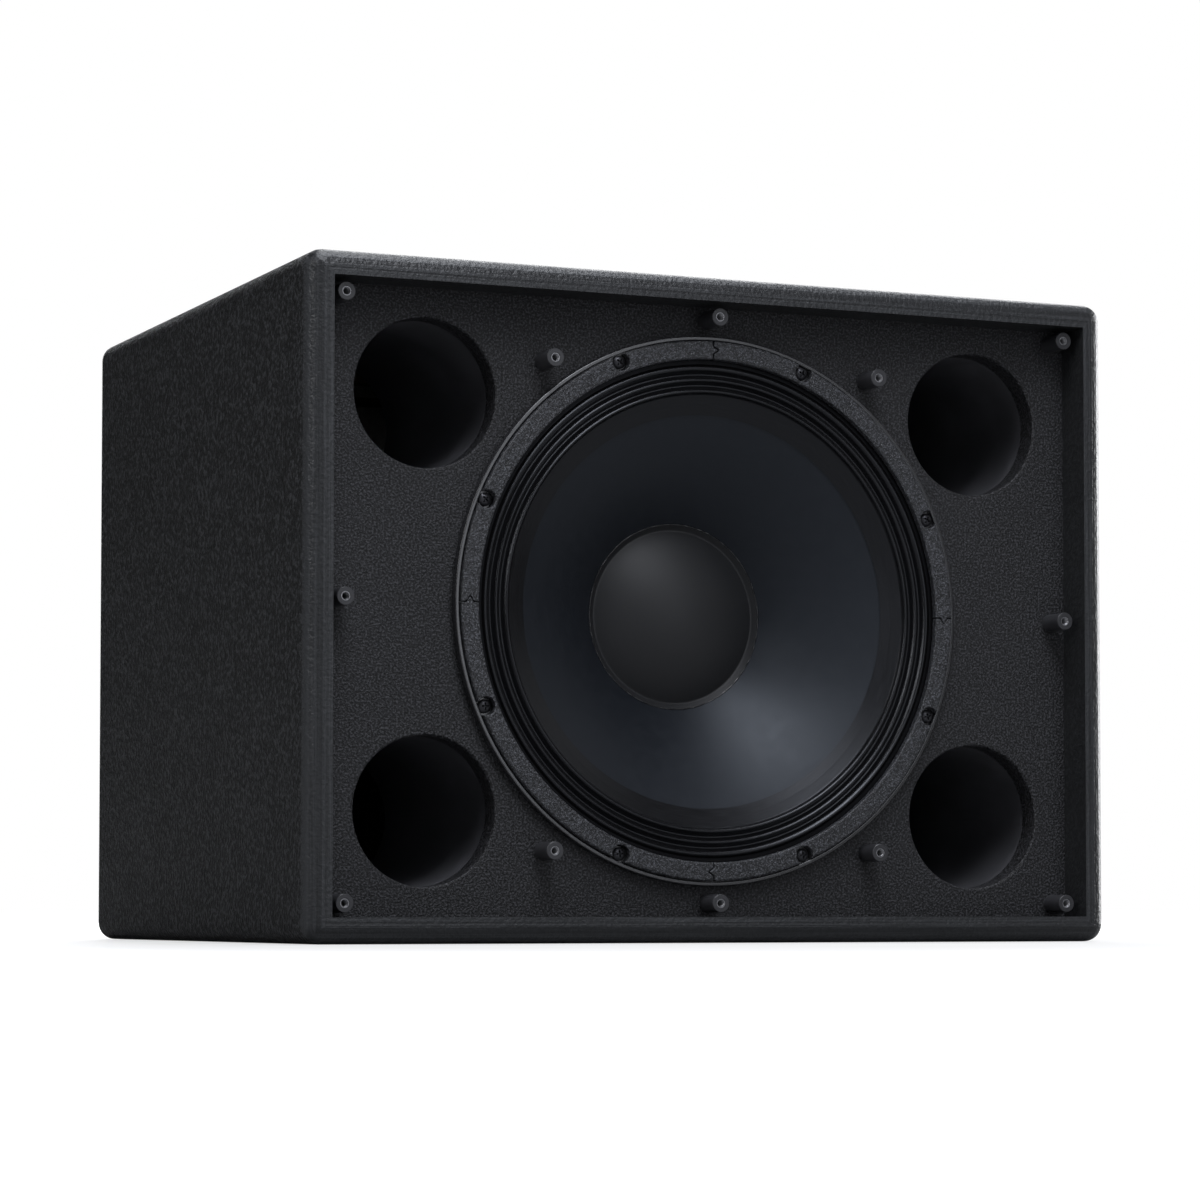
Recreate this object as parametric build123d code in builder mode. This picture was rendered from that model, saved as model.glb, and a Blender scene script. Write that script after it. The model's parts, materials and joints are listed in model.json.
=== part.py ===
"""Vented loudspeaker cabinet: one 15 inch woofer, four round ducts, mitred plywood shell.

Millimetres. +Z is up, the front faces -Y, +X is to the right as seen from the front.
The origin is the centre of the footprint, on the floor.
Depths are measured from the front edges of the shell, going in.
"""

from build123d import *
import os

# ---- Driving dimensions ------------------------------------------------------------------------

# Shell
WIDTH = 616
HEIGHT = 467
DEPTH = 505
PANEL = 18  # plywood thickness, used for every wall
ROUND_OVER = 12.7  # half-inch radius on all outer edges
DADO = 6  # depth of the groove that holds the baffle
BAFFLE_FACE = 30.4
CLEAR = 0.1  # play or glue line between a piece and its seat

# Ducts, from the centre of the front
DUCT_X = 213.1
DUCT_Z = 143.3
DUCT_BORE_R = 51.7
DUCT_WALL = 3
DUCT_LENGTH = 200
DUCT_FLANGE_R = 64
DUCT_FLANGE = 4
DUCT_SCREW_CIRCLE_R = 59.5
DUCT_PILOT_R = 1.65
DUCT_SCREW_LENGTH = 15
PORT_EDGE = 1.5  # rounding of the duct openings' front edges

# Grille standoffs, from the centre of the front
STANDOFF_X = 278.3
STANDOFF_Z = 206.0
DIAGONAL_X = 125.7
DIAGONAL_Z = 170.0
STANDOFF_R = 6.35
STANDOFF_FACE = 8.2
SPIGOT_R = 4
SPIGOT_LENGTH = 12
INSERT_R = 3.3
INSERT_LENGTH = 14
INSERT_SINK = 0.4  # how far the insert sits below the standoff's face
GRILLE_THREAD_R = 2.1  # M5, drawn at its core diameter
GRILLE_THREAD_DEPTH = 20

# Woofer frame
FRAME_R = 194
FRAME_LIP_R = 190.9
FRAME_LIP_FACE = 22.4
FRAME_LIP_EDGE = 0.9
FRAME_LAND = 25.9  # face that carries the surround and the gasket
FRAME_REAR = 28.9  # back of the mounting flange
FRAME_WALL = 4
CUTOUT_R = 177
SKIRT_R = 176.4
SKIRT_INNER_R = 172.8
SKIRT_END = 54
SPOKE_WIDTH = 22
RING_R = 98
HUB_R = 92
HUB_INNER_R = 48
LEDGE_R = 86  # inner edge of the ledge that carries the spider
SPIDER_LEDGE = 124
MOTOR_SEAT = 150

# Woofer fixings
SCREW_CIRCLE_R = 185.9
SCREW_COUNT = 8
SCREW_START = 22.5  # degrees from the horizontal
SCREW_HOLE_R = 2.8
SCREW_SHANK_R = 2.45
SCREW_LENGTH = 25
SCREW_HEAD_R = 4.8
SCREW_HEAD = 4.0
T_NUT_BARREL_R = 3.5
T_NUT_BARREL = 9
T_NUT_FLANGE_R = 8.4
T_NUT_FLANGE = 1.2

# Front gasket
GASKET_INNER_R = 177.3
GASKET_OUTER_R = 190.5
GASKET_FACE = 19.5
GASKET_EDGE = 1.2
GASKET_STEP_R = 181.2  # outside this radius the gasket reaches down to the frame
GASKET_NOTCH_R = 6.2
GASKET_SEAM = 0.3
GASKET_TAB_R = 184
GASKET_TAB_BASE = 2.8
GASKET_TAB_LENGTH = 4.5

# Cone, dust cap and voice coil
CONE_OUTER_R = 154
CONE_OUTER_DEPTH = 27.6
CONE_MIDDLE_R = 105
CONE_MIDDLE_DEPTH = 55.5
CONE_NECK_R = 38.55
CONE_NECK_DEPTH = 117
CONE_WALL = 1.3  # measured along the axis
CAP_R = 66.3
CAP_CREASE_R = 62.4
CAP_HEIGHT = 20
CAP_WALL = 0.8
FORMER_INNER_R = 38.1
FORMER_R = 38.45
FORMER_FRONT = 112
FORMER_REAR = 165
WINDING_R = 39.6
WINDING_HEIGHT = 18

# Surround and spider
CLOTH = 0.8
RIM_OUTER_R = 180.8
RIM_INNER_R = 174
ROLL_OUTER_R = 170.6
ROLL_PITCH = 7.35
ROLL_CREST = 24.0
ROLL_TROUGH = 28.2
ROLL_DROP = 0.4  # each roll lies a little deeper than the one outside it
LIP_R = 139.3  # inner edge of the lip glued to the cone
SPIDER_WAVE = 2.2
SPIDER_PITCH = 7.6

# Motor
TOP_PLATE_R = 80
TOP_PLATE = 10
GAP_R = 40.4
MAGNET_R = 85
MAGNET_INNER_R = 50
MAGNET = 20
BACK_PLATE = 8
POLE_R = 37.6
VENT_R = 14
MOTOR_BOLT_CIRCLE_R = 66
MOTOR_BOLT_R = 2.95
MOTOR_BOLT_HEAD_R = 5
MOTOR_BOLT_HEAD = 6

# Rear connection plate, let into the back panel
INPUT_Z = 130  # height of its centre above the floor
INPUT_WIDTH = 150
INPUT_HEIGHT = 96
INPUT_FLANGE = 2.5
INPUT_CORNER_R = 8
DISH_WIDTH = 118
DISH_HEIGHT = 64
DISH_DEPTH = 26
DISH_CORNER_R = 12
DISH_TAPER = 8  # degrees
DISH_WALL = 2.5
DISH_HOLE_WIDTH = DISH_WIDTH + 2 * DISH_WALL + 1
DISH_HOLE_HEIGHT = DISH_HEIGHT + 2 * DISH_WALL + 1
PLATE_SCREW_INSET = 7  # from the plate's edges
SOCKET_SPACING = 52
SOCKET_FLANGE = 3
SOCKET_BODY_R = 12
SOCKET_BORE_R = 10.6
SOCKET_CORE_R = 5.5
SOCKET_BODY = 20

# Bracing, wood screws and lining
BATTEN = 18
BRACE_FACE = 272.5
BRACE_RIM = 32
BRACE_BAR = 60
BRACE_CORNER_R = 25
WOOD_SCREW_R = 1.9
BACK_SCREW_LENGTH = 32
BACK_SCREW_HEAD_R = 4.1
LINING = 18

# ---- Derived values and planes -----------------------------------------------------------------

FRONT_Y = -DEPTH / 2
CENTRE_Z = HEIGHT / 2
INNER_WIDTH = WIDTH - 2 * PANEL
INNER_HEIGHT = HEIGHT - 2 * PANEL
BAFFLE_REAR = BAFFLE_FACE + PANEL
BACK_INNER_Y = DEPTH / 2 - PANEL
TOP_PLATE_REAR = MOTOR_SEAT + TOP_PLATE
MAGNET_REAR = TOP_PLATE_REAR + MAGNET
GAP_CENTRE = MOTOR_SEAT + TOP_PLATE / 2

# Front view: local x is X, local y is Z, the normal points out of the cabinet
FRONT = Plane(origin=(0, FRONT_Y, CENTRE_Z), x_dir=(1, 0, 0), z_dir=(0, -1, 0))
# Back view: local x is -X, local y is Z, the normal points out of the cabinet
BACK = Plane(origin=(0, DEPTH / 2, CENTRE_Z), x_dir=(-1, 0, 0), z_dir=(0, 1, 0))
INPUT = Plane(origin=(0, DEPTH / 2, INPUT_Z), x_dir=(-1, 0, 0), z_dir=(0, 1, 0))
# Section through the woofer: local x is the radius, local y is the depth
SECTION = Plane(origin=(0, FRONT_Y, CENTRE_Z), x_dir=(1, 0, 0), z_dir=(0, 0, 1))
WOOFER_AXIS = Axis((0, FRONT_Y, CENTRE_Z), (0, 1, 0))

STANDOFFS = [(x, z) for x in (-STANDOFF_X, 0, STANDOFF_X) for z in (-STANDOFF_Z, 0, STANDOFF_Z) if x or z]
STANDOFFS += [(x, z) for x in (-DIAGONAL_X, DIAGONAL_X) for z in (-DIAGONAL_Z, DIAGONAL_Z)]

os.makedirs("parts", exist_ok=True)


def behind(depth):
    """The front view's plane, moved in by a depth."""
    return FRONT.offset(-depth)


def save(piece, name):
    """Label a finished piece and write its STEP file."""
    piece.part.label = name
    export_step(piece.part, f"parts/{name}.step")


def woofer_screw_places():
    """The eight fixing points round the woofer's flange."""
    return PolarLocations(SCREW_CIRCLE_R, SCREW_COUNT, start_angle=SCREW_START)


def plate_screw_places():
    """Four fixings at the corners of the connection plate."""
    return GridLocations(INPUT_WIDTH - 2 * PLATE_SCREW_INSET, INPUT_HEIGHT - 2 * PLATE_SCREW_INSET, 2, 2)


def pan_head_screw(shank_r, length, head_r, head_height):
    """A cross-slotted pan head screw along Z, with the underside of its head at the origin."""
    rim_height = head_height * 0.45
    with BuildPart() as screw:
        with BuildSketch(Plane.XZ):
            with BuildLine():
                Polyline((0, head_height), (0, -length), (shank_r, -length), (shank_r, 0), (head_r, 0))
                Line((head_r, 0), (head_r, rim_height))
                Spline(
                    (head_r, rim_height),
                    (head_r * 0.62, head_height * 0.87),
                    (0, head_height),
                    tangents=((-0.3, 1), (-1, 0)),
                )
            make_face()
        revolve(axis=Axis.Z)
        with BuildSketch(Plane.XY.offset(head_height)):
            Rectangle(head_r, head_r / 4)
            Rectangle(head_r / 4, head_r)
        extrude(amount=-head_height * 0.6, mode=Mode.SUBTRACT)
    return screw.part


def countersunk_screw(shank_r, length, head_r):
    """A cross-slotted countersunk screw along Z, with the top of its head at the origin."""
    neck = shank_r - head_r
    with BuildPart() as screw:
        with BuildSketch(Plane.XZ):
            Polygon((0, 0), (head_r, 0), (shank_r, neck), (shank_r, -length), (0, -length), align=None)
        revolve(axis=Axis.Z)
        with BuildSketch(Plane.XY):
            Rectangle(head_r, head_r / 4)
            Rectangle(head_r / 4, head_r)
        extrude(amount=-head_r / 2, mode=Mode.SUBTRACT)
    return screw.part


def round_wire(radius, points):
    """A round wire along a smooth curve through the points."""
    with BuildPart() as wire:
        with BuildLine():
            path = Spline(*points)
        with BuildSketch(Plane(origin=path @ 0, z_dir=path % 0)):
            Circle(radius)
        sweep(path=path)
    return wire.part


def soft_box(name, low, high):
    """A pad of lining, as a block with rounded edges between two corners."""
    size = [b - a for a, b in zip(low, high)]
    middle = [(a + b) / 2 for a, b in zip(low, high)]
    with BuildPart(Plane(origin=middle)) as pad:
        Box(*size)
        fillet(pad.edges(), LINING / 4)
    save(pad, name)


# ---- Shell: four mitred walls, grooved for the baffle ------------------------------------------


def mitred_wall(name, outline):
    """One wall: the rounded outer block, kept only inside the wall's mitred outline."""
    with BuildPart() as wall:
        Box(WIDTH, DEPTH, HEIGHT, align=(Align.CENTER, Align.CENTER, Align.MIN))
        fillet(wall.edges(), ROUND_OVER)
        with BuildSketch(FRONT):
            Polygon(*outline, align=None)
        extrude(amount=-DEPTH, mode=Mode.INTERSECT)
        with BuildSketch(behind(BAFFLE_FACE)):
            Rectangle(INNER_WIDTH + 2 * DADO, INNER_HEIGHT + 2 * DADO)
        extrude(amount=-PANEL, mode=Mode.SUBTRACT)
    save(wall, name)


OUT_X = WIDTH / 2
OUT_Z = HEIGHT / 2
IN_X = INNER_WIDTH / 2
IN_Z = INNER_HEIGHT / 2
mitred_wall("top_panel", [(-OUT_X, OUT_Z), (-IN_X, IN_Z), (IN_X, IN_Z), (OUT_X, OUT_Z)])
mitred_wall("bottom_panel", [(-OUT_X, -OUT_Z), (OUT_X, -OUT_Z), (IN_X, -IN_Z), (-IN_X, -IN_Z)])
mitred_wall("left_side_panel", [(-OUT_X, -OUT_Z), (-IN_X, -IN_Z), (-IN_X, IN_Z), (-OUT_X, OUT_Z)])
mitred_wall("right_side_panel", [(OUT_X, -OUT_Z), (OUT_X, OUT_Z), (IN_X, IN_Z), (IN_X, -IN_Z)])

# ---- Baffle ------------------------------------------------------------------------------------

with BuildPart() as baffle:
    with BuildSketch(behind(BAFFLE_FACE)):
        Rectangle(INNER_WIDTH + 2 * DADO, INNER_HEIGHT + 2 * DADO)
        Circle(CUTOUT_R, mode=Mode.SUBTRACT)
        with GridLocations(2 * DUCT_X, 2 * DUCT_Z, 2, 2):
            Circle(DUCT_BORE_R, mode=Mode.SUBTRACT)
        with woofer_screw_places():
            Circle(SCREW_HOLE_R, mode=Mode.SUBTRACT)
    extrude(amount=-PANEL)
    front_circles = baffle.edges().group_by(Axis.Y)[0].filter_by(GeomType.CIRCLE)
    fillet(front_circles.filter_by(lambda edge: abs(edge.radius - DUCT_BORE_R) < 0.1), PORT_EDGE)
    with BuildSketch(behind(BAFFLE_FACE)):
        with Locations(*STANDOFFS):
            Circle(SPIGOT_R)
    extrude(amount=-SPIGOT_LENGTH, mode=Mode.SUBTRACT)
    # from the back: seats of the T-nuts and pilot holes of the duct screws
    with BuildSketch(behind(BAFFLE_REAR)):
        with woofer_screw_places():
            Circle(T_NUT_BARREL_R + CLEAR)
    extrude(amount=T_NUT_BARREL + CLEAR, mode=Mode.SUBTRACT)
    with BuildSketch(behind(BAFFLE_REAR)):
        with GridLocations(2 * DUCT_X, 2 * DUCT_Z, 2, 2):
            with PolarLocations(DUCT_SCREW_CIRCLE_R, 3):
                Circle(DUCT_PILOT_R)
    extrude(amount=DUCT_SCREW_LENGTH - DUCT_FLANGE + 1, mode=Mode.SUBTRACT)
save(baffle, "baffle")

# ---- Ducts -------------------------------------------------------------------------------------


def duct(name, x, z):
    """A flanged tube glued and screwed to the back of the baffle, in line with its hole."""
    mouth = Plane(origin=(x, FRONT_Y + BAFFLE_REAR, CENTRE_Z + z), x_dir=(1, 0, 0), z_dir=(0, 1, 0))
    with BuildPart() as tube:
        with BuildSketch(mouth):
            Circle(DUCT_FLANGE_R)
            Circle(DUCT_BORE_R, mode=Mode.SUBTRACT)
            with PolarLocations(DUCT_SCREW_CIRCLE_R, 3):
                Circle(DUCT_PILOT_R + CLEAR, mode=Mode.SUBTRACT)
        extrude(amount=DUCT_FLANGE)
        with BuildSketch(mouth):
            Circle(DUCT_BORE_R + DUCT_WALL)
            Circle(DUCT_BORE_R, mode=Mode.SUBTRACT)
        extrude(amount=DUCT_LENGTH)
        fillet(tube.edges().group_by(Axis.Y)[-1], DUCT_WALL * 0.4)
    save(tube, name)


duct("duct_upper_left", -DUCT_X, DUCT_Z)
duct("duct_upper_right", DUCT_X, DUCT_Z)
duct("duct_lower_left", -DUCT_X, -DUCT_Z)
duct("duct_lower_right", DUCT_X, -DUCT_Z)

duct_screw = pan_head_screw(DUCT_PILOT_R - CLEAR / 2, DUCT_SCREW_LENGTH, 3.4, 2.4)
flange_back_y = FRONT_Y + BAFFLE_REAR + DUCT_FLANGE
flange_back = Plane(origin=(0, flange_back_y, CENTRE_Z), x_dir=(1, 0, 0), z_dir=(0, 1, 0))
with BuildPart(flange_back) as duct_screws:
    with GridLocations(2 * DUCT_X, 2 * DUCT_Z, 2, 2):
        with PolarLocations(DUCT_SCREW_CIRCLE_R, 3):
            add(duct_screw)
save(duct_screws, "duct_screws")

# ---- Grille standoffs and their threaded inserts -----------------------------------------------

with BuildPart() as grille_standoffs:
    with BuildSketch(behind(STANDOFF_FACE)):
        with Locations(*STANDOFFS):
            Circle(STANDOFF_R)
    extrude(amount=-(BAFFLE_FACE - STANDOFF_FACE))
    chamfer(grille_standoffs.edges().group_by(Axis.Y)[0], 0.4)
    with BuildSketch(behind(BAFFLE_FACE)):
        with Locations(*STANDOFFS):
            Circle(SPIGOT_R - CLEAR)
    extrude(amount=-(SPIGOT_LENGTH - CLEAR))
    with BuildSketch(behind(STANDOFF_FACE)):
        with Locations(*STANDOFFS):
            Circle(GRILLE_THREAD_R)
    extrude(amount=-GRILLE_THREAD_DEPTH, mode=Mode.SUBTRACT)
    with BuildSketch(behind(STANDOFF_FACE)):
        with Locations(*STANDOFFS):
            Circle(INSERT_R)
    extrude(amount=-INSERT_LENGTH, mode=Mode.SUBTRACT)
save(grille_standoffs, "grille_standoffs")

with BuildPart() as standoff_inserts:
    with BuildSketch(behind(STANDOFF_FACE + INSERT_SINK)):
        with Locations(*STANDOFFS):
            Circle(INSERT_R - CLEAR / 2)
            Circle(GRILLE_THREAD_R, mode=Mode.SUBTRACT)
    extrude(amount=-(INSERT_LENGTH - INSERT_SINK))
save(standoff_inserts, "standoff_inserts")

# ---- Woofer: frame, gaskets and fixings --------------------------------------------------------

with BuildPart() as woofer_rear_gasket:
    with BuildSketch(behind(FRAME_REAR)):
        Circle(FRAME_R - 1)
        Circle(CUTOUT_R + 1.5, mode=Mode.SUBTRACT)
        with woofer_screw_places():
            Circle(SCREW_HOLE_R + CLEAR, mode=Mode.SUBTRACT)
    extrude(amount=-(BAFFLE_FACE - FRAME_REAR))
save(woofer_rear_gasket, "woofer_rear_gasket")

# the casting's section runs from the lip, round the back of the flange, down to the motor seat
LEDGE_REAR = SPIDER_LEDGE + FRAME_WALL
HUB_FACE = MOTOR_SEAT - FRAME_WALL
with BuildPart() as woofer_frame:
    with BuildSketch(SECTION):
        Polygon(
            (SKIRT_INNER_R, FRAME_LAND),
            (FRAME_LIP_R, FRAME_LAND),
            (FRAME_LIP_R, FRAME_LIP_FACE),
            (FRAME_R, FRAME_LIP_FACE),
            (FRAME_R, FRAME_REAR),
            (SKIRT_R, FRAME_REAR),
            (SKIRT_R, SKIRT_END),
            (RING_R, SPIDER_LEDGE),
            (RING_R, LEDGE_REAR),
            (HUB_R, LEDGE_REAR + FRAME_WALL),
            (HUB_R, MOTOR_SEAT),
            (HUB_INNER_R, MOTOR_SEAT),
            (HUB_INNER_R, HUB_FACE),
            (HUB_R - FRAME_WALL, HUB_FACE),
            (HUB_R - FRAME_WALL, LEDGE_REAR),
            (LEDGE_R, LEDGE_REAR),
            (LEDGE_R, SPIDER_LEDGE),
            (RING_R - 4.5, SPIDER_LEDGE),
            (RING_R - 3.5, SPIDER_LEDGE - 3),
            (SKIRT_INNER_R, SKIRT_END - 3),
            align=None,
        )
    revolve(axis=WOOFER_AXIS)
    fillet(woofer_frame.edges().group_by(Axis.Y)[0], FRAME_LIP_EDGE)
    # openings between the eight spokes
    with BuildSketch(behind(SKIRT_END - 6)):
        Circle(SKIRT_INNER_R - 5)
        Circle(RING_R + 5, mode=Mode.SUBTRACT)
        for bar in range(SCREW_COUNT // 2):
            Rectangle(2 * FRAME_R, SPOKE_WIDTH, rotation=SCREW_START + bar * 45, mode=Mode.SUBTRACT)
    extrude(amount=SKIRT_END - SPIDER_LEDGE, mode=Mode.SUBTRACT)
    with BuildSketch(behind(FRAME_LAND)):
        with woofer_screw_places():
            Circle(SCREW_HOLE_R)
    extrude(amount=FRAME_LAND - FRAME_REAR, mode=Mode.SUBTRACT)
    with BuildSketch(behind(MOTOR_SEAT)):
        with PolarLocations(MOTOR_BOLT_CIRCLE_R, 4, start_angle=45):
            Circle(MOTOR_BOLT_R + 2 * CLEAR)
    extrude(amount=FRAME_WALL, mode=Mode.SUBTRACT)
save(woofer_frame, "woofer_frame")


def seam_line(side):
    """The +X seam between two gasket segments, moved half a gap: straight, with an arrow-shaped tab."""
    y = side * GASKET_SEAM / 2
    return [
        (GASKET_INNER_R - 5, y),
        (GASKET_TAB_R - GASKET_TAB_BASE, y),
        (GASKET_TAB_R, y - GASKET_TAB_LENGTH),
        (GASKET_TAB_R + GASKET_TAB_BASE, y),
        (GASKET_OUTER_R + 5, y),
    ]


SEGMENT_REACH = GASKET_OUTER_R + 5
GASKET_UNDER = FRAME_LAND - CLOTH
first_seam = seam_line(1)
last_seam = [(-y, x) for x, y in seam_line(-1)]
with BuildPart() as gasket_segment:
    with BuildSketch(SECTION):
        Polygon(
            (GASKET_INNER_R, GASKET_UNDER),
            (GASKET_INNER_R, GASKET_FACE),
            (GASKET_OUTER_R, GASKET_FACE),
            (GASKET_OUTER_R, FRAME_LAND),
            (GASKET_STEP_R, FRAME_LAND),
            (GASKET_STEP_R, GASKET_UNDER),
            align=None,
        )
    revolve(axis=WOOFER_AXIS)
    fillet(gasket_segment.edges().group_by(Axis.Y)[0], GASKET_EDGE)
    with BuildSketch(FRONT):
        Polygon(*first_seam, (SEGMENT_REACH, SEGMENT_REACH), *reversed(last_seam), align=None)
    extrude(amount=-2 * FRAME_LAND, mode=Mode.INTERSECT)
    with BuildSketch(behind(GASKET_FACE)):
        with woofer_screw_places():
            Circle(GASKET_NOTCH_R)
    extrude(amount=GASKET_FACE - FRAME_LAND, mode=Mode.SUBTRACT)

# the four segments are the same piece, turned a quarter each time
for quarter, place in enumerate(("upper_right", "upper_left", "lower_left", "lower_right")):
    with BuildPart() as turned_segment:
        add(gasket_segment.part.rotate(WOOFER_AXIS, -90 * quarter))
    save(turned_segment, f"gasket_{place}")

woofer_screw = pan_head_screw(SCREW_SHANK_R, SCREW_LENGTH, SCREW_HEAD_R, SCREW_HEAD)
with BuildPart(behind(FRAME_LAND)) as woofer_screws:
    with woofer_screw_places():
        add(woofer_screw)
save(woofer_screws, "woofer_screws")

with BuildPart() as t_nuts:
    with BuildSketch(behind(BAFFLE_REAR)):
        with woofer_screw_places():
            Circle(T_NUT_FLANGE_R)
    extrude(amount=-T_NUT_FLANGE)
    with BuildSketch(behind(BAFFLE_REAR)):
        with woofer_screw_places():
            Circle(T_NUT_BARREL_R)
    extrude(amount=T_NUT_BARREL)
    with BuildSketch(behind(BAFFLE_REAR + T_NUT_FLANGE)):
        with woofer_screw_places():
            Circle(SCREW_SHANK_R + CLEAR)
    extrude(amount=T_NUT_FLANGE + T_NUT_BARREL, mode=Mode.SUBTRACT)
save(t_nuts, "t_nuts")

# ---- Woofer: moving assembly -------------------------------------------------------------------


def cone_arc(offset):
    """The cone's curved section, moved back along the axis by an offset."""
    return ThreePointArc(
        (CONE_OUTER_R, CONE_OUTER_DEPTH + offset),
        (CONE_MIDDLE_R, CONE_MIDDLE_DEPTH + offset),
        (CONE_NECK_R, CONE_NECK_DEPTH + offset),
    )


def cone_depth(radius):
    """Depth of the cone's front face at a radius."""
    arc = cone_arc(0)
    centre = arc.arc_center
    return centre.Y - (arc.radius**2 - (radius - centre.X) ** 2) ** 0.5


# the cap's dome stands on a conical flange that is glued to the cone
GLUE = 0.15
CAP_CREASE = cone_depth(CAP_CREASE_R) - GLUE
CAP_EDGE = cone_depth(CAP_R) - GLUE
CAP_TOP = CAP_CREASE - CAP_HEIGHT
CAP_HALFWAY = CAP_TOP + CAP_HEIGHT * 0.24
CAP_EDGE_SLOPE = 0.7

# the surround's lip lies on the cone, inside its outer edge
LIP_START_R = CONE_OUTER_R - 0.8
LIP_MIDDLE_R = (LIP_START_R + LIP_R) / 2
LIP = [(radius, cone_depth(radius) - GLUE) for radius in (LIP_START_R, LIP_MIDDLE_R, LIP_R)]

with BuildPart() as woofer_cone:
    with BuildSketch(SECTION):
        with BuildLine():
            front_line = cone_arc(0)
            rear_line = cone_arc(CONE_WALL)
            Line(front_line @ 0, rear_line @ 0)
            Line(front_line @ 1, rear_line @ 1)
        make_face()
    revolve(axis=WOOFER_AXIS)
save(woofer_cone, "woofer_cone")


def cap_line(offset):
    """The cap's section from the top of its dome to the edge of its flange, moved back by an offset."""
    Spline(
        (0, CAP_TOP + offset),
        (CAP_CREASE_R / 2, CAP_HALFWAY + offset),
        (CAP_CREASE_R, CAP_CREASE + offset),
        tangents=((1, 0), (1, CAP_EDGE_SLOPE)),
    )
    Line((CAP_CREASE_R, CAP_CREASE + offset), (CAP_R, CAP_EDGE + offset))


with BuildPart() as dust_cap:
    with BuildSketch(SECTION):
        with BuildLine():
            cap_line(0)
            cap_line(-CAP_WALL)
            Line((0, CAP_TOP), (0, CAP_TOP - CAP_WALL))
            Line((CAP_R, CAP_EDGE), (CAP_R, CAP_EDGE - CAP_WALL))
        make_face()
    revolve(axis=WOOFER_AXIS)
save(dust_cap, "dust_cap")

with BuildPart() as voice_coil_former:
    with BuildSketch(behind(FORMER_FRONT)):
        Circle(FORMER_R)
        Circle(FORMER_INNER_R, mode=Mode.SUBTRACT)
    extrude(amount=FORMER_FRONT - FORMER_REAR)
save(voice_coil_former, "voice_coil_former")

with BuildPart() as voice_coil_winding:
    with BuildSketch(behind(GAP_CENTRE - WINDING_HEIGHT / 2)):
        Circle(WINDING_R)
        Circle(FORMER_R, mode=Mode.SUBTRACT)
    extrude(amount=-WINDING_HEIGHT)
save(voice_coil_winding, "voice_coil_winding")

# ---- Woofer: flexible suspension ---------------------------------------------------------------

# three rolls between a flat rim, clamped under the gasket, and the lip glued to the cone
roll_points = []
for roll in range(3):
    crest_r = ROLL_OUTER_R - roll * ROLL_PITCH
    roll_points.append((crest_r, ROLL_CREST + roll * ROLL_DROP))
    if roll < 2:
        roll_points.append((crest_r - ROLL_PITCH / 2, ROLL_TROUGH + roll * ROLL_DROP))

# the spider's waves run from the frame's ledge to the former
wave_points = []
for wave in range(10):
    swing = SPIDER_WAVE if wave % 2 else -SPIDER_WAVE
    wave_points.append((LEDGE_R - 3.5 - wave * SPIDER_PITCH / 2, SPIDER_LEDGE + swing))


def cloth_line(outer_flat, waves, inner_flat, offset):
    """Section of a corrugated cloth ring from outside to inside, moved back by an offset."""
    outer = Line(*[(r, depth + offset) for r, depth in outer_flat])
    inner = Polyline(*[(r, depth + offset) for r, depth in inner_flat])
    middle = [(r, depth + offset) for r, depth in waves]
    Spline(outer @ 1, *middle, inner @ 0)
    return outer @ 0, inner @ 1


with BuildPart() as surround:
    rim = [(RIM_OUTER_R, FRAME_LAND), (RIM_INNER_R, FRAME_LAND)]
    with BuildSketch(SECTION):
        with BuildLine():
            rear_ends = cloth_line(rim, roll_points, LIP, 0)
            front_ends = cloth_line(rim, roll_points, LIP, -CLOTH)
            Line(rear_ends[0], front_ends[0])
            Line(rear_ends[1], front_ends[1])
        make_face()
    revolve(axis=WOOFER_AXIS)
save(surround, "surround")

with BuildPart() as spider:
    landing = [(LEDGE_R + 6.5, SPIDER_LEDGE), (LEDGE_R, SPIDER_LEDGE)]
    collar = [(FORMER_R + CLEAR + 3, SPIDER_LEDGE), (FORMER_R + CLEAR, SPIDER_LEDGE)]
    with BuildSketch(SECTION):
        with BuildLine():
            rear_ends = cloth_line(landing, wave_points, collar, 0)
            front_ends = cloth_line(landing, wave_points, collar, -CLOTH)
            Line(rear_ends[0], front_ends[0])
            Line(rear_ends[1], front_ends[1])
        make_face()
    revolve(axis=WOOFER_AXIS)
save(spider, "spider")

# ---- Woofer: motor -----------------------------------------------------------------------------

with BuildPart() as top_plate:
    with BuildSketch(behind(MOTOR_SEAT)):
        Circle(TOP_PLATE_R)
        Circle(GAP_R, mode=Mode.SUBTRACT)
        with PolarLocations(MOTOR_BOLT_CIRCLE_R, 4, start_angle=45):
            Circle(MOTOR_BOLT_R + CLEAR, mode=Mode.SUBTRACT)
    extrude(amount=-TOP_PLATE)
save(top_plate, "top_plate")

with BuildPart() as ferrite_magnet:
    with BuildSketch(behind(TOP_PLATE_REAR)):
        Circle(MAGNET_R)
        Circle(MAGNET_INNER_R, mode=Mode.SUBTRACT)
    extrude(amount=-MAGNET)
    chamfer(ferrite_magnet.edges().filter_by(GeomType.CIRCLE), 1.2)
save(ferrite_magnet, "ferrite_magnet")

with BuildPart() as pole_yoke:
    with BuildSketch(behind(MAGNET_REAR)):
        Circle(TOP_PLATE_R)
        Circle(VENT_R, mode=Mode.SUBTRACT)
    extrude(amount=-BACK_PLATE)
    with BuildSketch(behind(MAGNET_REAR)):
        Circle(POLE_R)
        Circle(VENT_R, mode=Mode.SUBTRACT)
    extrude(amount=MAGNET_REAR - MOTOR_SEAT)
    chamfer(pole_yoke.edges().group_by(Axis.Y)[-1], 1)
save(pole_yoke, "pole_yoke")

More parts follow.
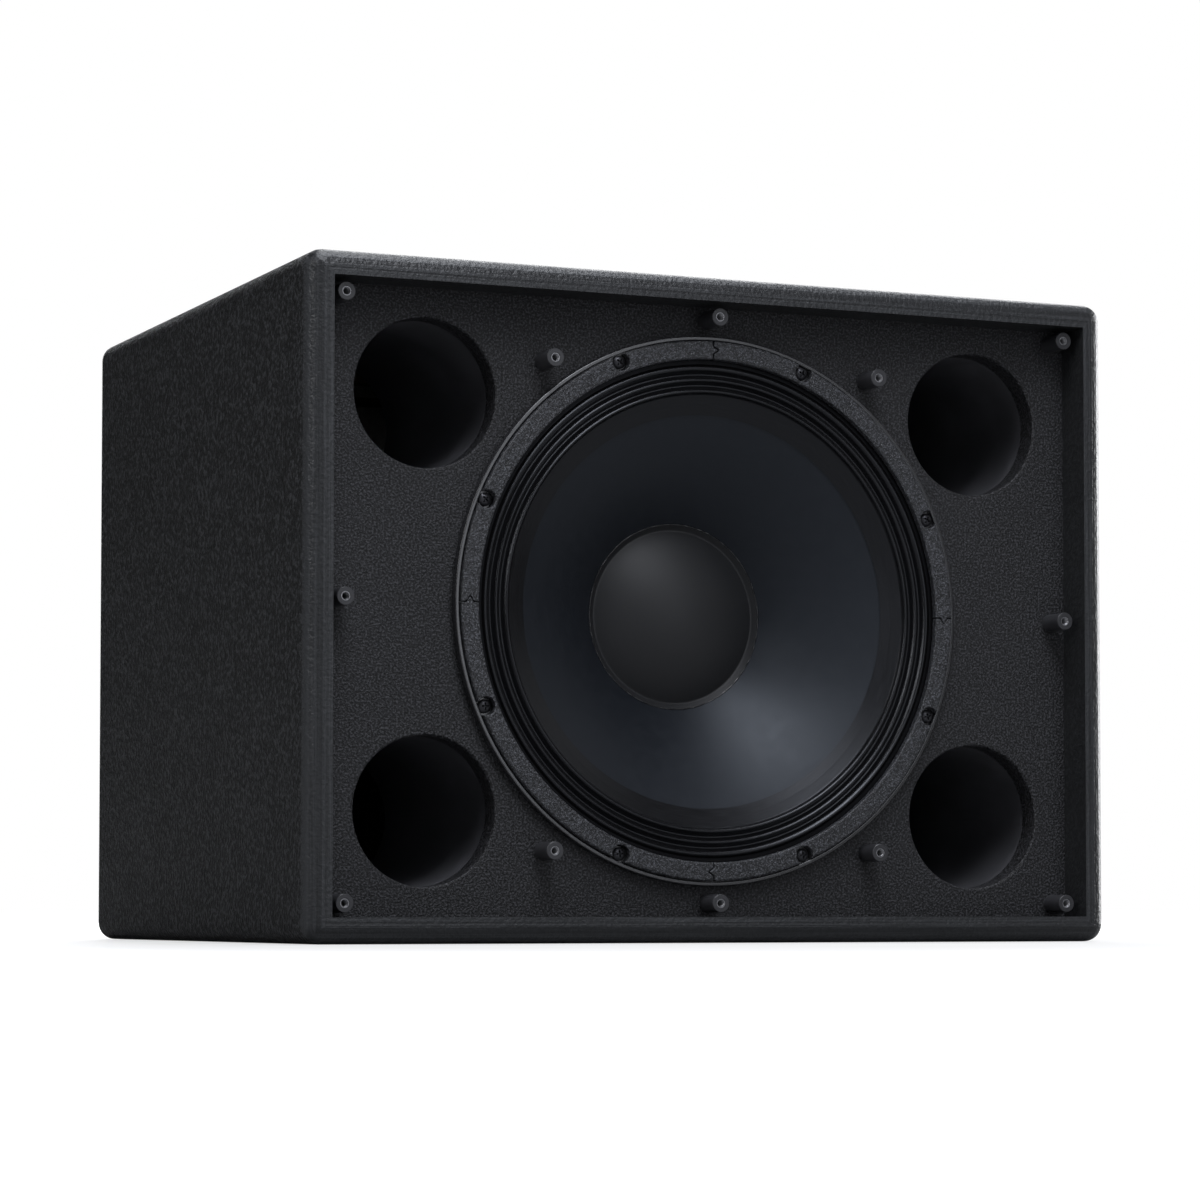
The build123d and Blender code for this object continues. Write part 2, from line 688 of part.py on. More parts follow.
with BuildPart(behind(HUB_FACE)) as motor_bolts:
    with PolarLocations(MOTOR_BOLT_CIRCLE_R, 4, start_angle=45):
        Cylinder(MOTOR_BOLT_HEAD_R, MOTOR_BOLT_HEAD, align=(Align.CENTER, Align.CENTER, Align.MIN))
        Cylinder(MOTOR_BOLT_R, FRAME_WALL + TOP_PLATE - 1, align=(Align.CENTER, Align.CENTER, Align.MAX))
    with BuildSketch(behind(HUB_FACE - MOTOR_BOLT_HEAD)):
        with PolarLocations(MOTOR_BOLT_CIRCLE_R, 4, start_angle=45):
            RegularPolygon(2.9, 6)
    extrude(amount=-MOTOR_BOLT_HEAD / 2, mode=Mode.SUBTRACT)
save(motor_bolts, "motor_bolts")

# ---- Woofer: terminals and leads ---------------------------------------------------------------

# a small board under the hub carries two solder tabs
BOARD_WIDTH = 46
BOARD_THICK = 2
BOARD_START = 134
BOARD_LENGTH = 14
TAB_X = 14
TAB_WIDTH = 5
TAB_THICK = 0.8
TAB_REACH = 8
BOARD_Z = CENTRE_Z - HUB_R - CLEAR
TAB_Z = BOARD_Z - BOARD_THICK
BOARD = Plane(origin=(0, FRONT_Y + BOARD_START, BOARD_Z), x_dir=(1, 0, 0), z_dir=(0, 0, -1))
BOARD_MIDDLE = BOARD_LENGTH / 2

with BuildPart() as terminal_board:
    with BuildSketch(BOARD):
        with Locations((0, -BOARD_MIDDLE)):
            RectangleRounded(BOARD_WIDTH, BOARD_LENGTH, 2)
    extrude(amount=BOARD_THICK)
save(terminal_board, "terminal_board")

with BuildPart() as terminal_tabs:
    with BuildSketch(BOARD.offset(BOARD_THICK)):
        with Locations((-TAB_X, -BOARD_MIDDLE), (TAB_X, -BOARD_MIDDLE)):
            Rectangle(TAB_WIDTH, TAB_THICK)
    extrude(amount=TAB_REACH)
    with BuildSketch(BOARD.offset(BOARD_THICK)):
        with Locations((-TAB_X, -BOARD_MIDDLE), (TAB_X, -BOARD_MIDDLE)):
            Rectangle(TAB_WIDTH + 2, 4)
    extrude(amount=1)
save(terminal_tabs, "terminal_tabs")


# flexible leads go from the tabs, through a frame opening, to the back of the cone
LEAD_R = 1.0
LEAD_END_R = 66
tab_y = FRONT_Y + BOARD_START + BOARD_MIDDLE
lead_end_y = FRONT_Y + cone_depth(LEAD_END_R) + CONE_WALL + 2 * LEAD_R + 0.8
leads = [
    round_wire(
        LEAD_R,
        [
            (side * TAB_X, tab_y - 2, TAB_Z - 5),
            (side * TAB_X, FRONT_Y + 126, CENTRE_Z - 110),
            (side * (TAB_X - 1), FRONT_Y + 114, CENTRE_Z - 108),
            (side * (TAB_X - 2), FRONT_Y + 103, CENTRE_Z - 98),
            (side * (TAB_X - 3), FRONT_Y + 98, CENTRE_Z - 82),
            (side * (TAB_X - 4), lead_end_y, CENTRE_Z - LEAD_END_R),
        ],
    )
    for side in (-1, 1)
]
with BuildPart() as tinsel_leads:
    for lead in leads:
        add(lead)
save(tinsel_leads, "tinsel_leads")

# ---- Back panel, battens and brace -------------------------------------------------------------

SCREW_ROW_X = INNER_WIDTH / 2 - BATTEN / 2
SCREW_ROW_Z = INNER_HEIGHT / 2 - BATTEN / 2
BACK_SCREWS = [(x * SCREW_ROW_X / 3, z) for x in (-3, -1, 1, 3) for z in (-SCREW_ROW_Z, SCREW_ROW_Z)]
BACK_SCREWS += [(x, z * SCREW_ROW_Z / 3) for x in (-SCREW_ROW_X, SCREW_ROW_X) for z in (-1, 1)]
INPUT_OFFSET = INPUT_Z - CENTRE_Z

with BuildPart(BACK) as back_panel:
    with BuildSketch(BACK):
        Rectangle(INNER_WIDTH, INNER_HEIGHT)
        with Locations((0, INPUT_OFFSET)):
            RectangleRounded(DISH_HOLE_WIDTH, DISH_HOLE_HEIGHT, DISH_CORNER_R, mode=Mode.SUBTRACT)
    extrude(amount=-PANEL)
    with BuildSketch(INPUT):
        RectangleRounded(INPUT_WIDTH + 1, INPUT_HEIGHT + 1, INPUT_CORNER_R)
    extrude(amount=-INPUT_FLANGE, mode=Mode.SUBTRACT)
    with Locations(*BACK_SCREWS):
        CounterSinkHole(WOOD_SCREW_R + CLEAR, BACK_SCREW_HEAD_R + CLEAR, PANEL, 90)
    with BuildSketch(INPUT.offset(-INPUT_FLANGE)):
        with plate_screw_places():
            Circle(WOOD_SCREW_R + CLEAR)
    extrude(amount=INPUT_FLANGE - PANEL, mode=Mode.SUBTRACT)
save(back_panel, "back_panel")

back_screw = countersunk_screw(WOOD_SCREW_R, BACK_SCREW_LENGTH, BACK_SCREW_HEAD_R)
with BuildPart(BACK) as back_panel_screws:
    with Locations(*BACK_SCREWS):
        add(back_screw)
save(back_panel_screws, "back_panel_screws")


def batten(name, x, z, width, height):
    """A strip glued inside the shell, ahead of the back panel, with pilot holes for its screws."""
    with BuildPart() as strip:
        with BuildSketch(BACK.offset(-PANEL)):
            with Locations((x, z)):
                Rectangle(width, height)
            with Locations(*BACK_SCREWS):
                Circle(WOOD_SCREW_R + CLEAR / 2, mode=Mode.SUBTRACT)
        extrude(amount=-BATTEN)
    save(strip, name)


batten("batten_top", 0, SCREW_ROW_Z, INNER_WIDTH, BATTEN)
batten("batten_bottom", 0, -SCREW_ROW_Z, INNER_WIDTH, BATTEN)
batten("batten_left", SCREW_ROW_X, 0, BATTEN, INNER_HEIGHT - 2 * BATTEN)
batten("batten_right", -SCREW_ROW_X, 0, BATTEN, INNER_HEIGHT - 2 * BATTEN)

BRACE_WINDOW_WIDTH = (INNER_WIDTH - 2 * BRACE_RIM - BRACE_BAR) / 2
BRACE_WINDOW_HEIGHT = (INNER_HEIGHT - 2 * BRACE_RIM - BRACE_BAR) / 2
with BuildPart() as window_brace:
    with BuildSketch(behind(BRACE_FACE)):
        Rectangle(INNER_WIDTH, INNER_HEIGHT)
        with GridLocations(BRACE_WINDOW_WIDTH + BRACE_BAR, BRACE_WINDOW_HEIGHT + BRACE_BAR, 2, 2):
            RectangleRounded(BRACE_WINDOW_WIDTH, BRACE_WINDOW_HEIGHT, BRACE_CORNER_R, mode=Mode.SUBTRACT)
    extrude(amount=-PANEL)
save(window_brace, "window_brace")

# ---- Rear connection plate ---------------------------------------------------------------------

INPUT_FLOOR = INPUT.offset(-DISH_DEPTH)
SOCKET_SCREW_X = 10
SOCKET_SCREW_Z = 12
SOCKET_SCREW_R = 1.4
CONTACT_CIRCLE_R = 8.1
CONTACT_WIDTH = 3.4
CONTACT_THICK = 0.8


def socket_places():
    """The two connectors side by side on the floor of the dish."""
    return GridLocations(SOCKET_SPACING, 0, 2, 1)


def socket_screw_places():
    """Two fixings at opposite corners of each connector's flange."""
    return Locations((-SOCKET_SCREW_X, SOCKET_SCREW_Z), (SOCKET_SCREW_X, -SOCKET_SCREW_Z))


with BuildPart() as input_plate:
    with BuildSketch(INPUT):
        RectangleRounded(INPUT_WIDTH, INPUT_HEIGHT, INPUT_CORNER_R)
    extrude(amount=-INPUT_FLANGE)
    with BuildSketch(INPUT.offset(-INPUT_FLANGE)):
        RectangleRounded(DISH_WIDTH + 2 * DISH_WALL, DISH_HEIGHT + 2 * DISH_WALL, DISH_CORNER_R)
    extrude(amount=-DISH_DEPTH, taper=DISH_TAPER)
    with BuildSketch(INPUT):
        RectangleRounded(DISH_WIDTH, DISH_HEIGHT, DISH_CORNER_R)
    extrude(amount=-DISH_DEPTH, taper=DISH_TAPER, mode=Mode.SUBTRACT)
    with BuildSketch(INPUT_FLOOR):
        with socket_places():
            Circle(SOCKET_BODY_R + CLEAR)
            with socket_screw_places():
                Circle(SOCKET_SCREW_R + CLEAR)
    extrude(amount=-2 * DISH_WALL, mode=Mode.SUBTRACT)
    with BuildSketch(INPUT):
        with plate_screw_places():
            Circle(WOOD_SCREW_R + CLEAR)
    extrude(amount=-INPUT_FLANGE, mode=Mode.SUBTRACT)
    # the screw heads sit in dimples
    with BuildSketch(INPUT):
        with plate_screw_places():
            Circle(4.2)
    extrude(amount=-2, taper=45, mode=Mode.SUBTRACT)
save(input_plate, "input_plate")

plate_screw = countersunk_screw(WOOD_SCREW_R, 16, 4)
with BuildPart(INPUT) as input_plate_screws:
    with plate_screw_places():
        add(plate_screw)
save(input_plate_screws, "input_plate_screws")


def socket(name, x):
    """A round locking connector: square flange, hollow body with a core, four contact slots."""
    place = INPUT_FLOOR.shift_origin(INPUT_FLOOR.from_local_coords((x, 0, 0)))
    with BuildPart() as body:
        with BuildSketch(place):
            RectangleRounded(26, 31, 3)
            with socket_screw_places():
                Circle(SOCKET_SCREW_R + CLEAR, mode=Mode.SUBTRACT)
        extrude(amount=SOCKET_FLANGE)
        with BuildSketch(place.offset(-SOCKET_BODY)):
            Circle(SOCKET_BODY_R)
        extrude(amount=SOCKET_BODY + SOCKET_FLANGE + 1)
        fillet(body.edges().group_by(Axis.Y)[-1], 0.6)
        with BuildSketch(place.offset(-SOCKET_BODY + 3)):
            Circle(SOCKET_BORE_R)
            Circle(SOCKET_CORE_R, mode=Mode.SUBTRACT)
        extrude(amount=SOCKET_BODY + SOCKET_FLANGE, mode=Mode.SUBTRACT)
        # key slots in the rim and contact slots in the back wall
        with BuildSketch(place.offset(-SOCKET_BODY + 3)):
            Rectangle(2 * (SOCKET_BORE_R + 0.8), 3)
            Circle(SOCKET_CORE_R, mode=Mode.SUBTRACT)
        extrude(amount=SOCKET_BODY + SOCKET_FLANGE, mode=Mode.SUBTRACT)
        with BuildSketch(place.offset(-SOCKET_BODY)):
            with PolarLocations(CONTACT_CIRCLE_R, 4, start_angle=45):
                Rectangle(CONTACT_THICK + CLEAR, CONTACT_WIDTH + CLEAR)
        extrude(amount=4, mode=Mode.SUBTRACT)
    save(body, name)


socket("input_socket", -SOCKET_SPACING / 2)
socket("link_socket", SOCKET_SPACING / 2)

CONTACT_TAIL = 7
with BuildPart() as socket_contacts:
    with BuildSketch(INPUT_FLOOR.offset(-SOCKET_BODY - CONTACT_TAIL)):
        with socket_places():
            with PolarLocations(CONTACT_CIRCLE_R, 4, start_angle=45):
                Rectangle(CONTACT_THICK, CONTACT_WIDTH)
    extrude(amount=CONTACT_TAIL + 14)
save(socket_contacts, "socket_contacts")

socket_screw = pan_head_screw(SOCKET_SCREW_R, 9, 2.6, 1.8)
with BuildPart(INPUT_FLOOR.offset(SOCKET_FLANGE)) as socket_screws:
    with socket_places():
        with socket_screw_places():
            add(socket_screw)
save(socket_screws, "socket_screws")

# ---- Internal wiring ---------------------------------------------------------------------------

WIRE_R = 1.6
LINK_WIRE_R = 1.2
wire_start_y = tab_y + TAB_THICK / 2 + WIRE_R + 0.3
brace_y = FRONT_Y + BRACE_FACE + PANEL / 2
tail_y = DEPTH / 2 - DISH_DEPTH - SOCKET_BODY - CONTACT_TAIL - 1
CONTACT_REACH = CONTACT_CIRCLE_R * 0.7071
SOCKET_X = SOCKET_SPACING / 2


def speaker_wire(name, start_x, brace_x, brace_z, contact_x, contact_z):
    """A wire from a woofer tab, through a lower window of the brace, to a socket contact."""
    path = [
        (start_x, wire_start_y, TAB_Z - 6),
        (start_x + (brace_x - start_x) * 0.35, wire_start_y + 45, TAB_Z - 14),
        (brace_x, brace_y, brace_z),
        (brace_x * 0.85, brace_y + 90, INPUT_Z - 8),
        (contact_x, tail_y, contact_z),
    ]
    with BuildPart() as wire:
        add(round_wire(WIRE_R, path))
    save(wire, name)


positive_end = (SOCKET_X + CONTACT_REACH, INPUT_Z + CONTACT_REACH)
negative_end = (SOCKET_X - CONTACT_REACH, INPUT_Z - CONTACT_REACH)
speaker_wire("speaker_wire_positive", TAB_X, 70, 125, *positive_end)
speaker_wire("speaker_wire_negative", -TAB_X, 50, 105, *negative_end)

# two loops tie the second socket to the first
loops = [
    round_wire(
        LINK_WIRE_R,
        [
            (SOCKET_X - side * CONTACT_REACH, tail_y, INPUT_Z + side * CONTACT_REACH),
            (0, tail_y - 14, INPUT_Z + side * (CONTACT_REACH + 6)),
            (-SOCKET_X - side * CONTACT_REACH, tail_y, INPUT_Z + side * CONTACT_REACH),
        ],
    )
    for side in (-1, 1)
]
with BuildPart() as link_wires:
    for loop in loops:
        add(loop)
save(link_wires, "link_wires")

# ---- Acoustic lining ---------------------------------------------------------------------------

GAP = 1
LINING_FRONT_Y = FRONT_Y + BRACE_FACE + PANEL + 6
LINING_BACK_Y = BACK_INNER_Y - BATTEN - 3
FLOOR_Z = PANEL + GAP
CEILING_Z = HEIGHT - PANEL - GAP
WALL_X = INNER_WIDTH / 2 - GAP
soft_box("lining_left", (-WALL_X, LINING_FRONT_Y, FLOOR_Z), (-WALL_X + LINING, LINING_BACK_Y, CEILING_Z))
soft_box("lining_right", (WALL_X - LINING, LINING_FRONT_Y, FLOOR_Z), (WALL_X, LINING_BACK_Y, CEILING_Z))
soft_box(
    "lining_top",
    (-WALL_X + LINING + GAP, LINING_FRONT_Y, CEILING_Z - LINING),
    (WALL_X - LINING - GAP, LINING_BACK_Y, CEILING_Z),
)
soft_box(
    "lining_back",
    (-WALL_X + BATTEN + GAP, BACK_INNER_Y - GAP - LINING, INPUT_Z + INPUT_HEIGHT / 2 + 10),
    (WALL_X - BATTEN - GAP, BACK_INNER_Y - GAP, CEILING_Z - BATTEN - GAP),
)
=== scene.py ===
import json
import math

import bmesh
import bpy
import numpy as np
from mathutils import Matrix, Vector, noise


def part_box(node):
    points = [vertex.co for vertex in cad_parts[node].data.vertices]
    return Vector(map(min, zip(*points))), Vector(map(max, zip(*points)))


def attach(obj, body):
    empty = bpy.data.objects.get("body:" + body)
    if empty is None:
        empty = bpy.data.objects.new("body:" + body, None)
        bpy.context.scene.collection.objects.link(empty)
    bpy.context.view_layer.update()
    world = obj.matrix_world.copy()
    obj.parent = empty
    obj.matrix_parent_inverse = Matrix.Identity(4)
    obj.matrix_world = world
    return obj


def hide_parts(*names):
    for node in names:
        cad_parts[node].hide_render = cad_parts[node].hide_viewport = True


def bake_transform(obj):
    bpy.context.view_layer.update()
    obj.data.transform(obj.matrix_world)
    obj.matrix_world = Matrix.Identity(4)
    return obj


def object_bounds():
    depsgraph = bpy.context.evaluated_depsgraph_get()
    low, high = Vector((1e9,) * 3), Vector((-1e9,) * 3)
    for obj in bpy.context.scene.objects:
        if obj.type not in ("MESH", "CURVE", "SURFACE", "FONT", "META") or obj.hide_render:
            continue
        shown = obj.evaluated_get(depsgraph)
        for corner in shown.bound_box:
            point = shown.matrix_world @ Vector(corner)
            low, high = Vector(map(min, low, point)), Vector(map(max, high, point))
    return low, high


# Looks of a vented loudspeaker cabinet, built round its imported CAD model.
# The frame is in metres: +Z is up and the front faces -Y. Sizes written here are in millimetres,
# apart from mesh tolerances and the sizes of the floor, the lights and the camera, in metres.

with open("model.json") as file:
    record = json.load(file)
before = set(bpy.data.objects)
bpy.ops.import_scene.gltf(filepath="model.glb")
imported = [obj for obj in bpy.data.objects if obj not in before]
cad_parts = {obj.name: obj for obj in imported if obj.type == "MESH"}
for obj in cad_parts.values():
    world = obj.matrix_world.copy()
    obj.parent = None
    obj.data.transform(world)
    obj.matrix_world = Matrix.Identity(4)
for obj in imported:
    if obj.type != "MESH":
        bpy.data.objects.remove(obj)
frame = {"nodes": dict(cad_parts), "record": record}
cad_low, cad_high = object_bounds()
NODES = frame["nodes"]
SLOTS = {part["node"]: part["material_slot"] for part in frame["record"]["subparts"]}
FIXED = "cabinet"
MOVING = "cone_assembly"

MM = 0.001
FRONT_Y = cad_low.y
FRAME_LOW, FRAME_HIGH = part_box("woofer_frame")
CENTRE_Z = (FRAME_LOW.z + FRAME_HIGH.z) / 2
SHELL_COAT = (0.0150, 0.0156, 0.0166)

# ---- Mesh helpers ------------------------------------------------------------------------------


def finish_piece(name, bm, material, body=FIXED, sharp_degrees=35):
    """Turns a bmesh into a shaded piece, which rides on a body when one is given."""
    bmesh.ops.remove_doubles(bm, verts=bm.verts, dist=1e-6)
    bmesh.ops.recalc_face_normals(bm, faces=bm.faces)
    for face in bm.faces:
        face.smooth = True
    for edge in bm.edges:
        if len(edge.link_faces) == 2:
            edge.smooth = edge.calc_face_angle(0.0) < math.radians(sharp_degrees)
    mesh = bpy.data.meshes.new(name)
    bm.to_mesh(mesh)
    bm.free()
    piece = bpy.data.objects.new(name, mesh)
    bpy.context.scene.collection.objects.link(piece)
    mesh.materials.append(material)
    if body:
        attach(piece, body)
    return piece


def on_axis(angle, radius, depth):
    """A point round the woofer's axis, from a radius and a depth behind the front edges in mm."""
    reach = radius * MM
    across, up = reach * math.cos(angle), reach * math.sin(angle)
    return Vector((across, FRONT_Y + depth * MM, CENTRE_Z + up))


def join_rings(bm, rings):
    """Adds faces between each ring of corners and the next one, and from the last back to the first."""
    for step, here in enumerate(rings):
        there = rings[(step + 1) % len(rings)]
        for i in range(len(here)):
            j = (i + 1) % len(here)
            bm.faces.new((here[i], here[j], there[j], there[i]))


def revolve(bm, section, turns, ripple=None):
    """Adds a closed section of (radius, depth) points, turned round the woofer's axis."""
    rings = []
    for step in range(turns):
        angle = math.tau * step / turns
        ring = []
        for radius, depth in section:
            lift = ripple(angle, radius) if ripple else 0
            ring.append(bm.verts.new(on_axis(angle, radius, depth + lift)))
        rings.append(ring)
    join_rings(bm, rings)


def thick_line(line, thickness):
    """A closed section with a line of (radius, depth) points as its front face."""
    points = np.array(line, float)
    along = np.gradient(points, axis=0)
    along /= np.linalg.norm(along, axis=1)[:, None]
    across = np.stack([-along[:, 1], along[:, 0]], axis=1)
    across[across[:, 1] > 0] *= -1
    rear = points - across * thickness
    return [tuple(p) for p in points] + [tuple(p) for p in rear[::-1]]


def front_of(node):
    """The front face of a round CAD node: its radii and its depth at each of them, in mm."""
    mesh = NODES[node].data
    points = np.zeros(len(mesh.vertices) * 3)
    mesh.vertices.foreach_get("co", points)
    points = points.reshape(-1, 3)
    normals = np.zeros(len(mesh.polygons) * 3)
    mesh.polygons.foreach_get("normal", normals)
    corners = np.zeros(len(mesh.loops), int)
    mesh.loops.foreach_get("vertex_index", corners)
    facing = corners.reshape(-1, 3)[normals.reshape(-1, 3)[:, 1] < -0.02]
    points = points[np.unique(facing)]
    radii = np.hypot(points[:, 0], points[:, 2] - CENTRE_Z) / MM
    depths = (points[:, 1] - FRONT_Y) / MM
    steps = np.round(radii, 1)
    unique = np.unique(steps)
    return unique, np.array([depths[steps == radius].mean() for radius in unique])


def smooth_line(node, start, end, spacing):
    """Points along the front of a round CAD node from one radius to another, smoothed."""
    radii, depths = front_of(node)
    wanted = np.linspace(start, end, max(2, int(abs(end - start) / spacing)))
    line = np.interp(wanted, radii, depths)
    for _ in range(2):
        line[1:-1] = (line[:-2] + 2 * line[1:-1] + line[2:]) / 4
    return list(zip(wanted, line))


# ---- Material helpers --------------------------------------------------------------------------


class Look:
    """A procedural material being built. Sizes of textures are in mm, colours are linear."""

    def __init__(self, name, color, roughness, metallic=0.0, gloss=0.5):
        self.material = bpy.data.materials.new(name)
        self.material.use_nodes = True
        self.tree = self.material.node_tree
        self.shader = self.tree.nodes["Principled BSDF"]
        self.place = self.add("TexCoord").outputs["Object"]
        self.normal = None
        self.color = self.add("RGB").outputs[0]
        self.color.default_value = (*color, 1)
        self.tree.links.new(self.color, self.shader.inputs["Base Color"])
        self.roughness = roughness
        self.shader.inputs["Roughness"].default_value = roughness
        self.shader.inputs["Metallic"].default_value = metallic
        self.shader.inputs["Specular IOR Level"].default_value = gloss

    def add(self, kind, inputs=None, **settings):
        """A new node. Its inputs are values or other nodes' outputs."""
        node = self.tree.nodes.new("ShaderNode" + kind)
        for key, value in settings.items():
            setattr(node, key, value)
        for key, value in (inputs or {}).items():
            self.feed(node.inputs[key], value)
        return node

    def feed(self, socket, value):
        if isinstance(value, bpy.types.NodeSocket):
            self.tree.links.new(value, socket)
        else:
            socket.default_value = value

    def math(self, operation, a, b=0.0):
        return self.add("Math", {0: a, 1: b}, operation=operation).outputs[0]

    def stretched(self, x, y, z):
        """The place, with each axis scaled."""
        return self.add("Mapping", {"Vector": self.place, "Scale": (x, y, z)}).outputs[0]

    def noise(self, size, detail=2.0, rough=0.5, vector=None):
        inputs = {"Vector": vector or self.place, "Scale": 1 / (size * MM)}
        inputs.update({"Detail": detail, "Roughness": rough})
        return self.add("TexNoise", inputs).outputs["Fac"]

    def between(self, value, low, high, to_low=0.0, to_high=1.0):
        """A smooth step of a value from low to high."""
        inputs = {"Value": value, 1: low, 2: high, 3: to_low, 4: to_high}
        return self.add("MapRange", inputs, interpolation_type="SMOOTHSTEP").outputs[0]

    def paint(self, share, color):
        """Lays a second colour over what is there."""
        mixer = self.add("Mix", data_type="RGBA")
        self.feed(mixer.inputs[0], share)
        self.feed(mixer.inputs[6], self.color)
        self.feed(mixer.inputs[7], (*color, 1))
        self.color = mixer.outputs[2]
        self.feed(self.shader.inputs["Base Color"], self.color)

    def polish(self, share, roughness):
        """Moves the roughness towards another value."""
        inputs = {"Value": share, 1: 0.0, 2: 1.0, 3: self.roughness, 4: roughness}
        self.roughness = self.add("MapRange", inputs).outputs[0]
        self.feed(self.shader.inputs["Roughness"], self.roughness)

    def bump(self, height, depth, strength=1.0):
        """Raises the surface by up to a depth."""
        inputs = {"Height": height, "Distance": depth * MM, "Strength": strength}
        if self.normal:
            inputs["Normal"] = self.normal
        self.normal = self.add("Bump", inputs).outputs[0]
        self.feed(self.shader.inputs["Normal"], self.normal)

    def polar(self):
        """Radius in metres and angle in radians round the woofer's axis."""
        parts = self.add("SeparateXYZ", {0: self.place}).outputs
        up = self.math("SUBTRACT", parts["Z"], CENTRE_Z)
        across = self.math("MULTIPLY", parts["X"], parts["X"])
        squares = self.math("ADD", across, self.math("MULTIPLY", up, up))
        return self.math("SQRT", squares), self.math("ARCTAN2", up, parts["X"])

    def facing(self, axis, low, high):
        """1 where the surface faces along an axis, such as -Y, and 0 elsewhere."""
        normal = self.add("SeparateXYZ", {0: self.add("NewGeometry").outputs["Normal"]}).outputs[axis[1]]
        along = self.math("MULTIPLY", normal, -1.0 if axis[0] == "-" else 1.0)
        return self.between(along, low, high)

    def band(self, value, limits):
        """1 inside a band and 0 outside. limits, in mm: where it starts, is full, fades and ends."""
        start, full, fading, end = (limit * MM for limit in limits)
        rise, fall = self.between(value, start, full), self.between(value, fading, end)
        return self.math("SUBTRACT", rise, fall)


# ---- Materials ---------------------------------------------------------------------------------


COAT_ROUGHNESS = 0.5


def coating(name, color, grain, depth, highlight_contrast=3.8, calm=None):
    """Rolled black cabinet coating: pebbled and slightly cloudy, with painted highlights on its highest
    spots and painted shade in its lowest.

    The highlight contrast argument is how much paler the painted highlights are. calm takes the look and
    gives the share by which the pebbles are flatter.
    """
    look = Look(name, color, COAT_ROUGHNESS, gloss=0.42)
    pebbles = look.noise(grain, 1.5, 0.5)
    fine = look.noise(grain * 0.35, 2)
    cloudy = look.noise(70, 3)
    strength = look.math("SUBTRACT", 1.0, calm(look)) if calm else 1.0
    look.paint(look.between(cloudy, 0.35, 0.7, 0, 0.4), tuple(c * 1.4 for c in color))
    # painted highlight on the highest pebbles and painted shade on the lowest, standing in for the light
    # catching the pebbles and the shade between them
    high = look.math("MULTIPLY", strength, look.between(pebbles, 0.52, 0.63, 0, 0.9))
    low = look.math("MULTIPLY", strength, look.between(pebbles, 0.49, 0.38, 0, 0.95))
    look.paint(high, tuple(c * highlight_contrast for c in color))
    look.paint(low, tuple(c * 0.2 for c in color))
    look.polish(look.between(fine, 0.3, 0.7), COAT_ROUGHNESS + 0.12)
    look.bump(pebbles, depth, strength)
    look.bump(fine, depth * 0.3, strength)
    return look


# depths behind a wall's outer face, in mm
FIRST_LAYER = (6.2, 7.4, 10.2, 11.2)
SECOND_LAYER = (12.8, 13.4, 14.2, 14.8)
INNER_FACE = (17.0, 17.8)
# the band of the round-over, next to the outer face, that carries a painted highlight
EDGE_HIGHLIGHT_BAND = (3.4, 2.2)
LAYER_WANDER = 1.2


def wall_coating(name, across, outer, along_scale):
    """The shell's coating, with the plywood's layers showing through on the front edges, which are painted
    paler in streaks (partly the coat's own streaks, partly painted light), and with a painted highlight on
    the round-overs next to the outer faces.
    """

    def depth_in(look):
        place = look.add("SeparateXYZ", {0: look.place}).outputs[across]
        return look.math("ABSOLUTE", look.math("SUBTRACT", place, outer))

    def calm(look):
        """The coating is flatter on the front edges, and flatter still on the walls' inner faces."""
        front = look.math("MULTIPLY", look.facing("-Y", 0.04, 0.4), 0.8)
        inner_start, inner_full = (limit * MM for limit in INNER_FACE)
        inner = look.math("MULTIPLY", look.between(depth_in(look), inner_start, inner_full), 0.85)
        return look.math("MAXIMUM", front, inner)

    look = coating(name, SHELL_COAT, 3.0, 3.6, highlight_contrast=4.4, calm=calm)
    front = look.facing("-Y", 0.35, 0.8)
    inward = depth_in(look)
    streaks = look.noise(1000, 3, 0.6, look.stretched(*along_scale))
    wander = look.math("MULTIPLY", look.math("SUBTRACT", streaks, 0.5), LAYER_WANDER * MM)
    inward = look.math("ADD", inward, wander)
    second = look.math("MULTIPLY", look.band(inward, SECOND_LAYER), 0.8)
    layers = look.math("ADD", look.band(inward, FIRST_LAYER), second)
    dark = look.math("MULTIPLY", look.math("MULTIPLY", layers, front), 0.55)
    # the front edges painted paler in streaks: partly the coat's own streaks, partly painted light that
    # makes the front edges brighter than the shaded baffle
    streaks_and_painted_light = look.math("MULTIPLY", front, look.between(streaks, 0.38, 0.66, 0.30, 0.90))
    look.paint(streaks_and_painted_light, tuple(c * 3.0 for c in SHELL_COAT))
    edge_end, edge_full = (limit * MM for limit in EDGE_HIGHLIGHT_BAND)
    at_edge = look.between(inward, edge_end, edge_full)
    # painted highlight on the round-over next to the wall's outer face
    painted_edge_highlight = look.math("MULTIPLY", look.facing("-Y", 0.04, 0.12), at_edge)
    look.paint(look.math("MULTIPLY", painted_edge_highlight, 0.8), tuple(c * 3.6 for c in SHELL_COAT))
    look.paint(dark, tuple(c * 0.6 for c in SHELL_COAT))
    look.polish(look.facing("-Y", 0.15, 0.5), 0.36)
    sunk = look.math("MULTIPLY", layers, 0.7)
    relief = look.math("SUBTRACT", look.math("MULTIPLY", streaks, 0.8), sunk)
    look.bump(look.math("MULTIPLY", relief, front), 0.22)
    return look.material


JOINT_EDGE = (1.6, 0.8)  # mm inside the back panel's border


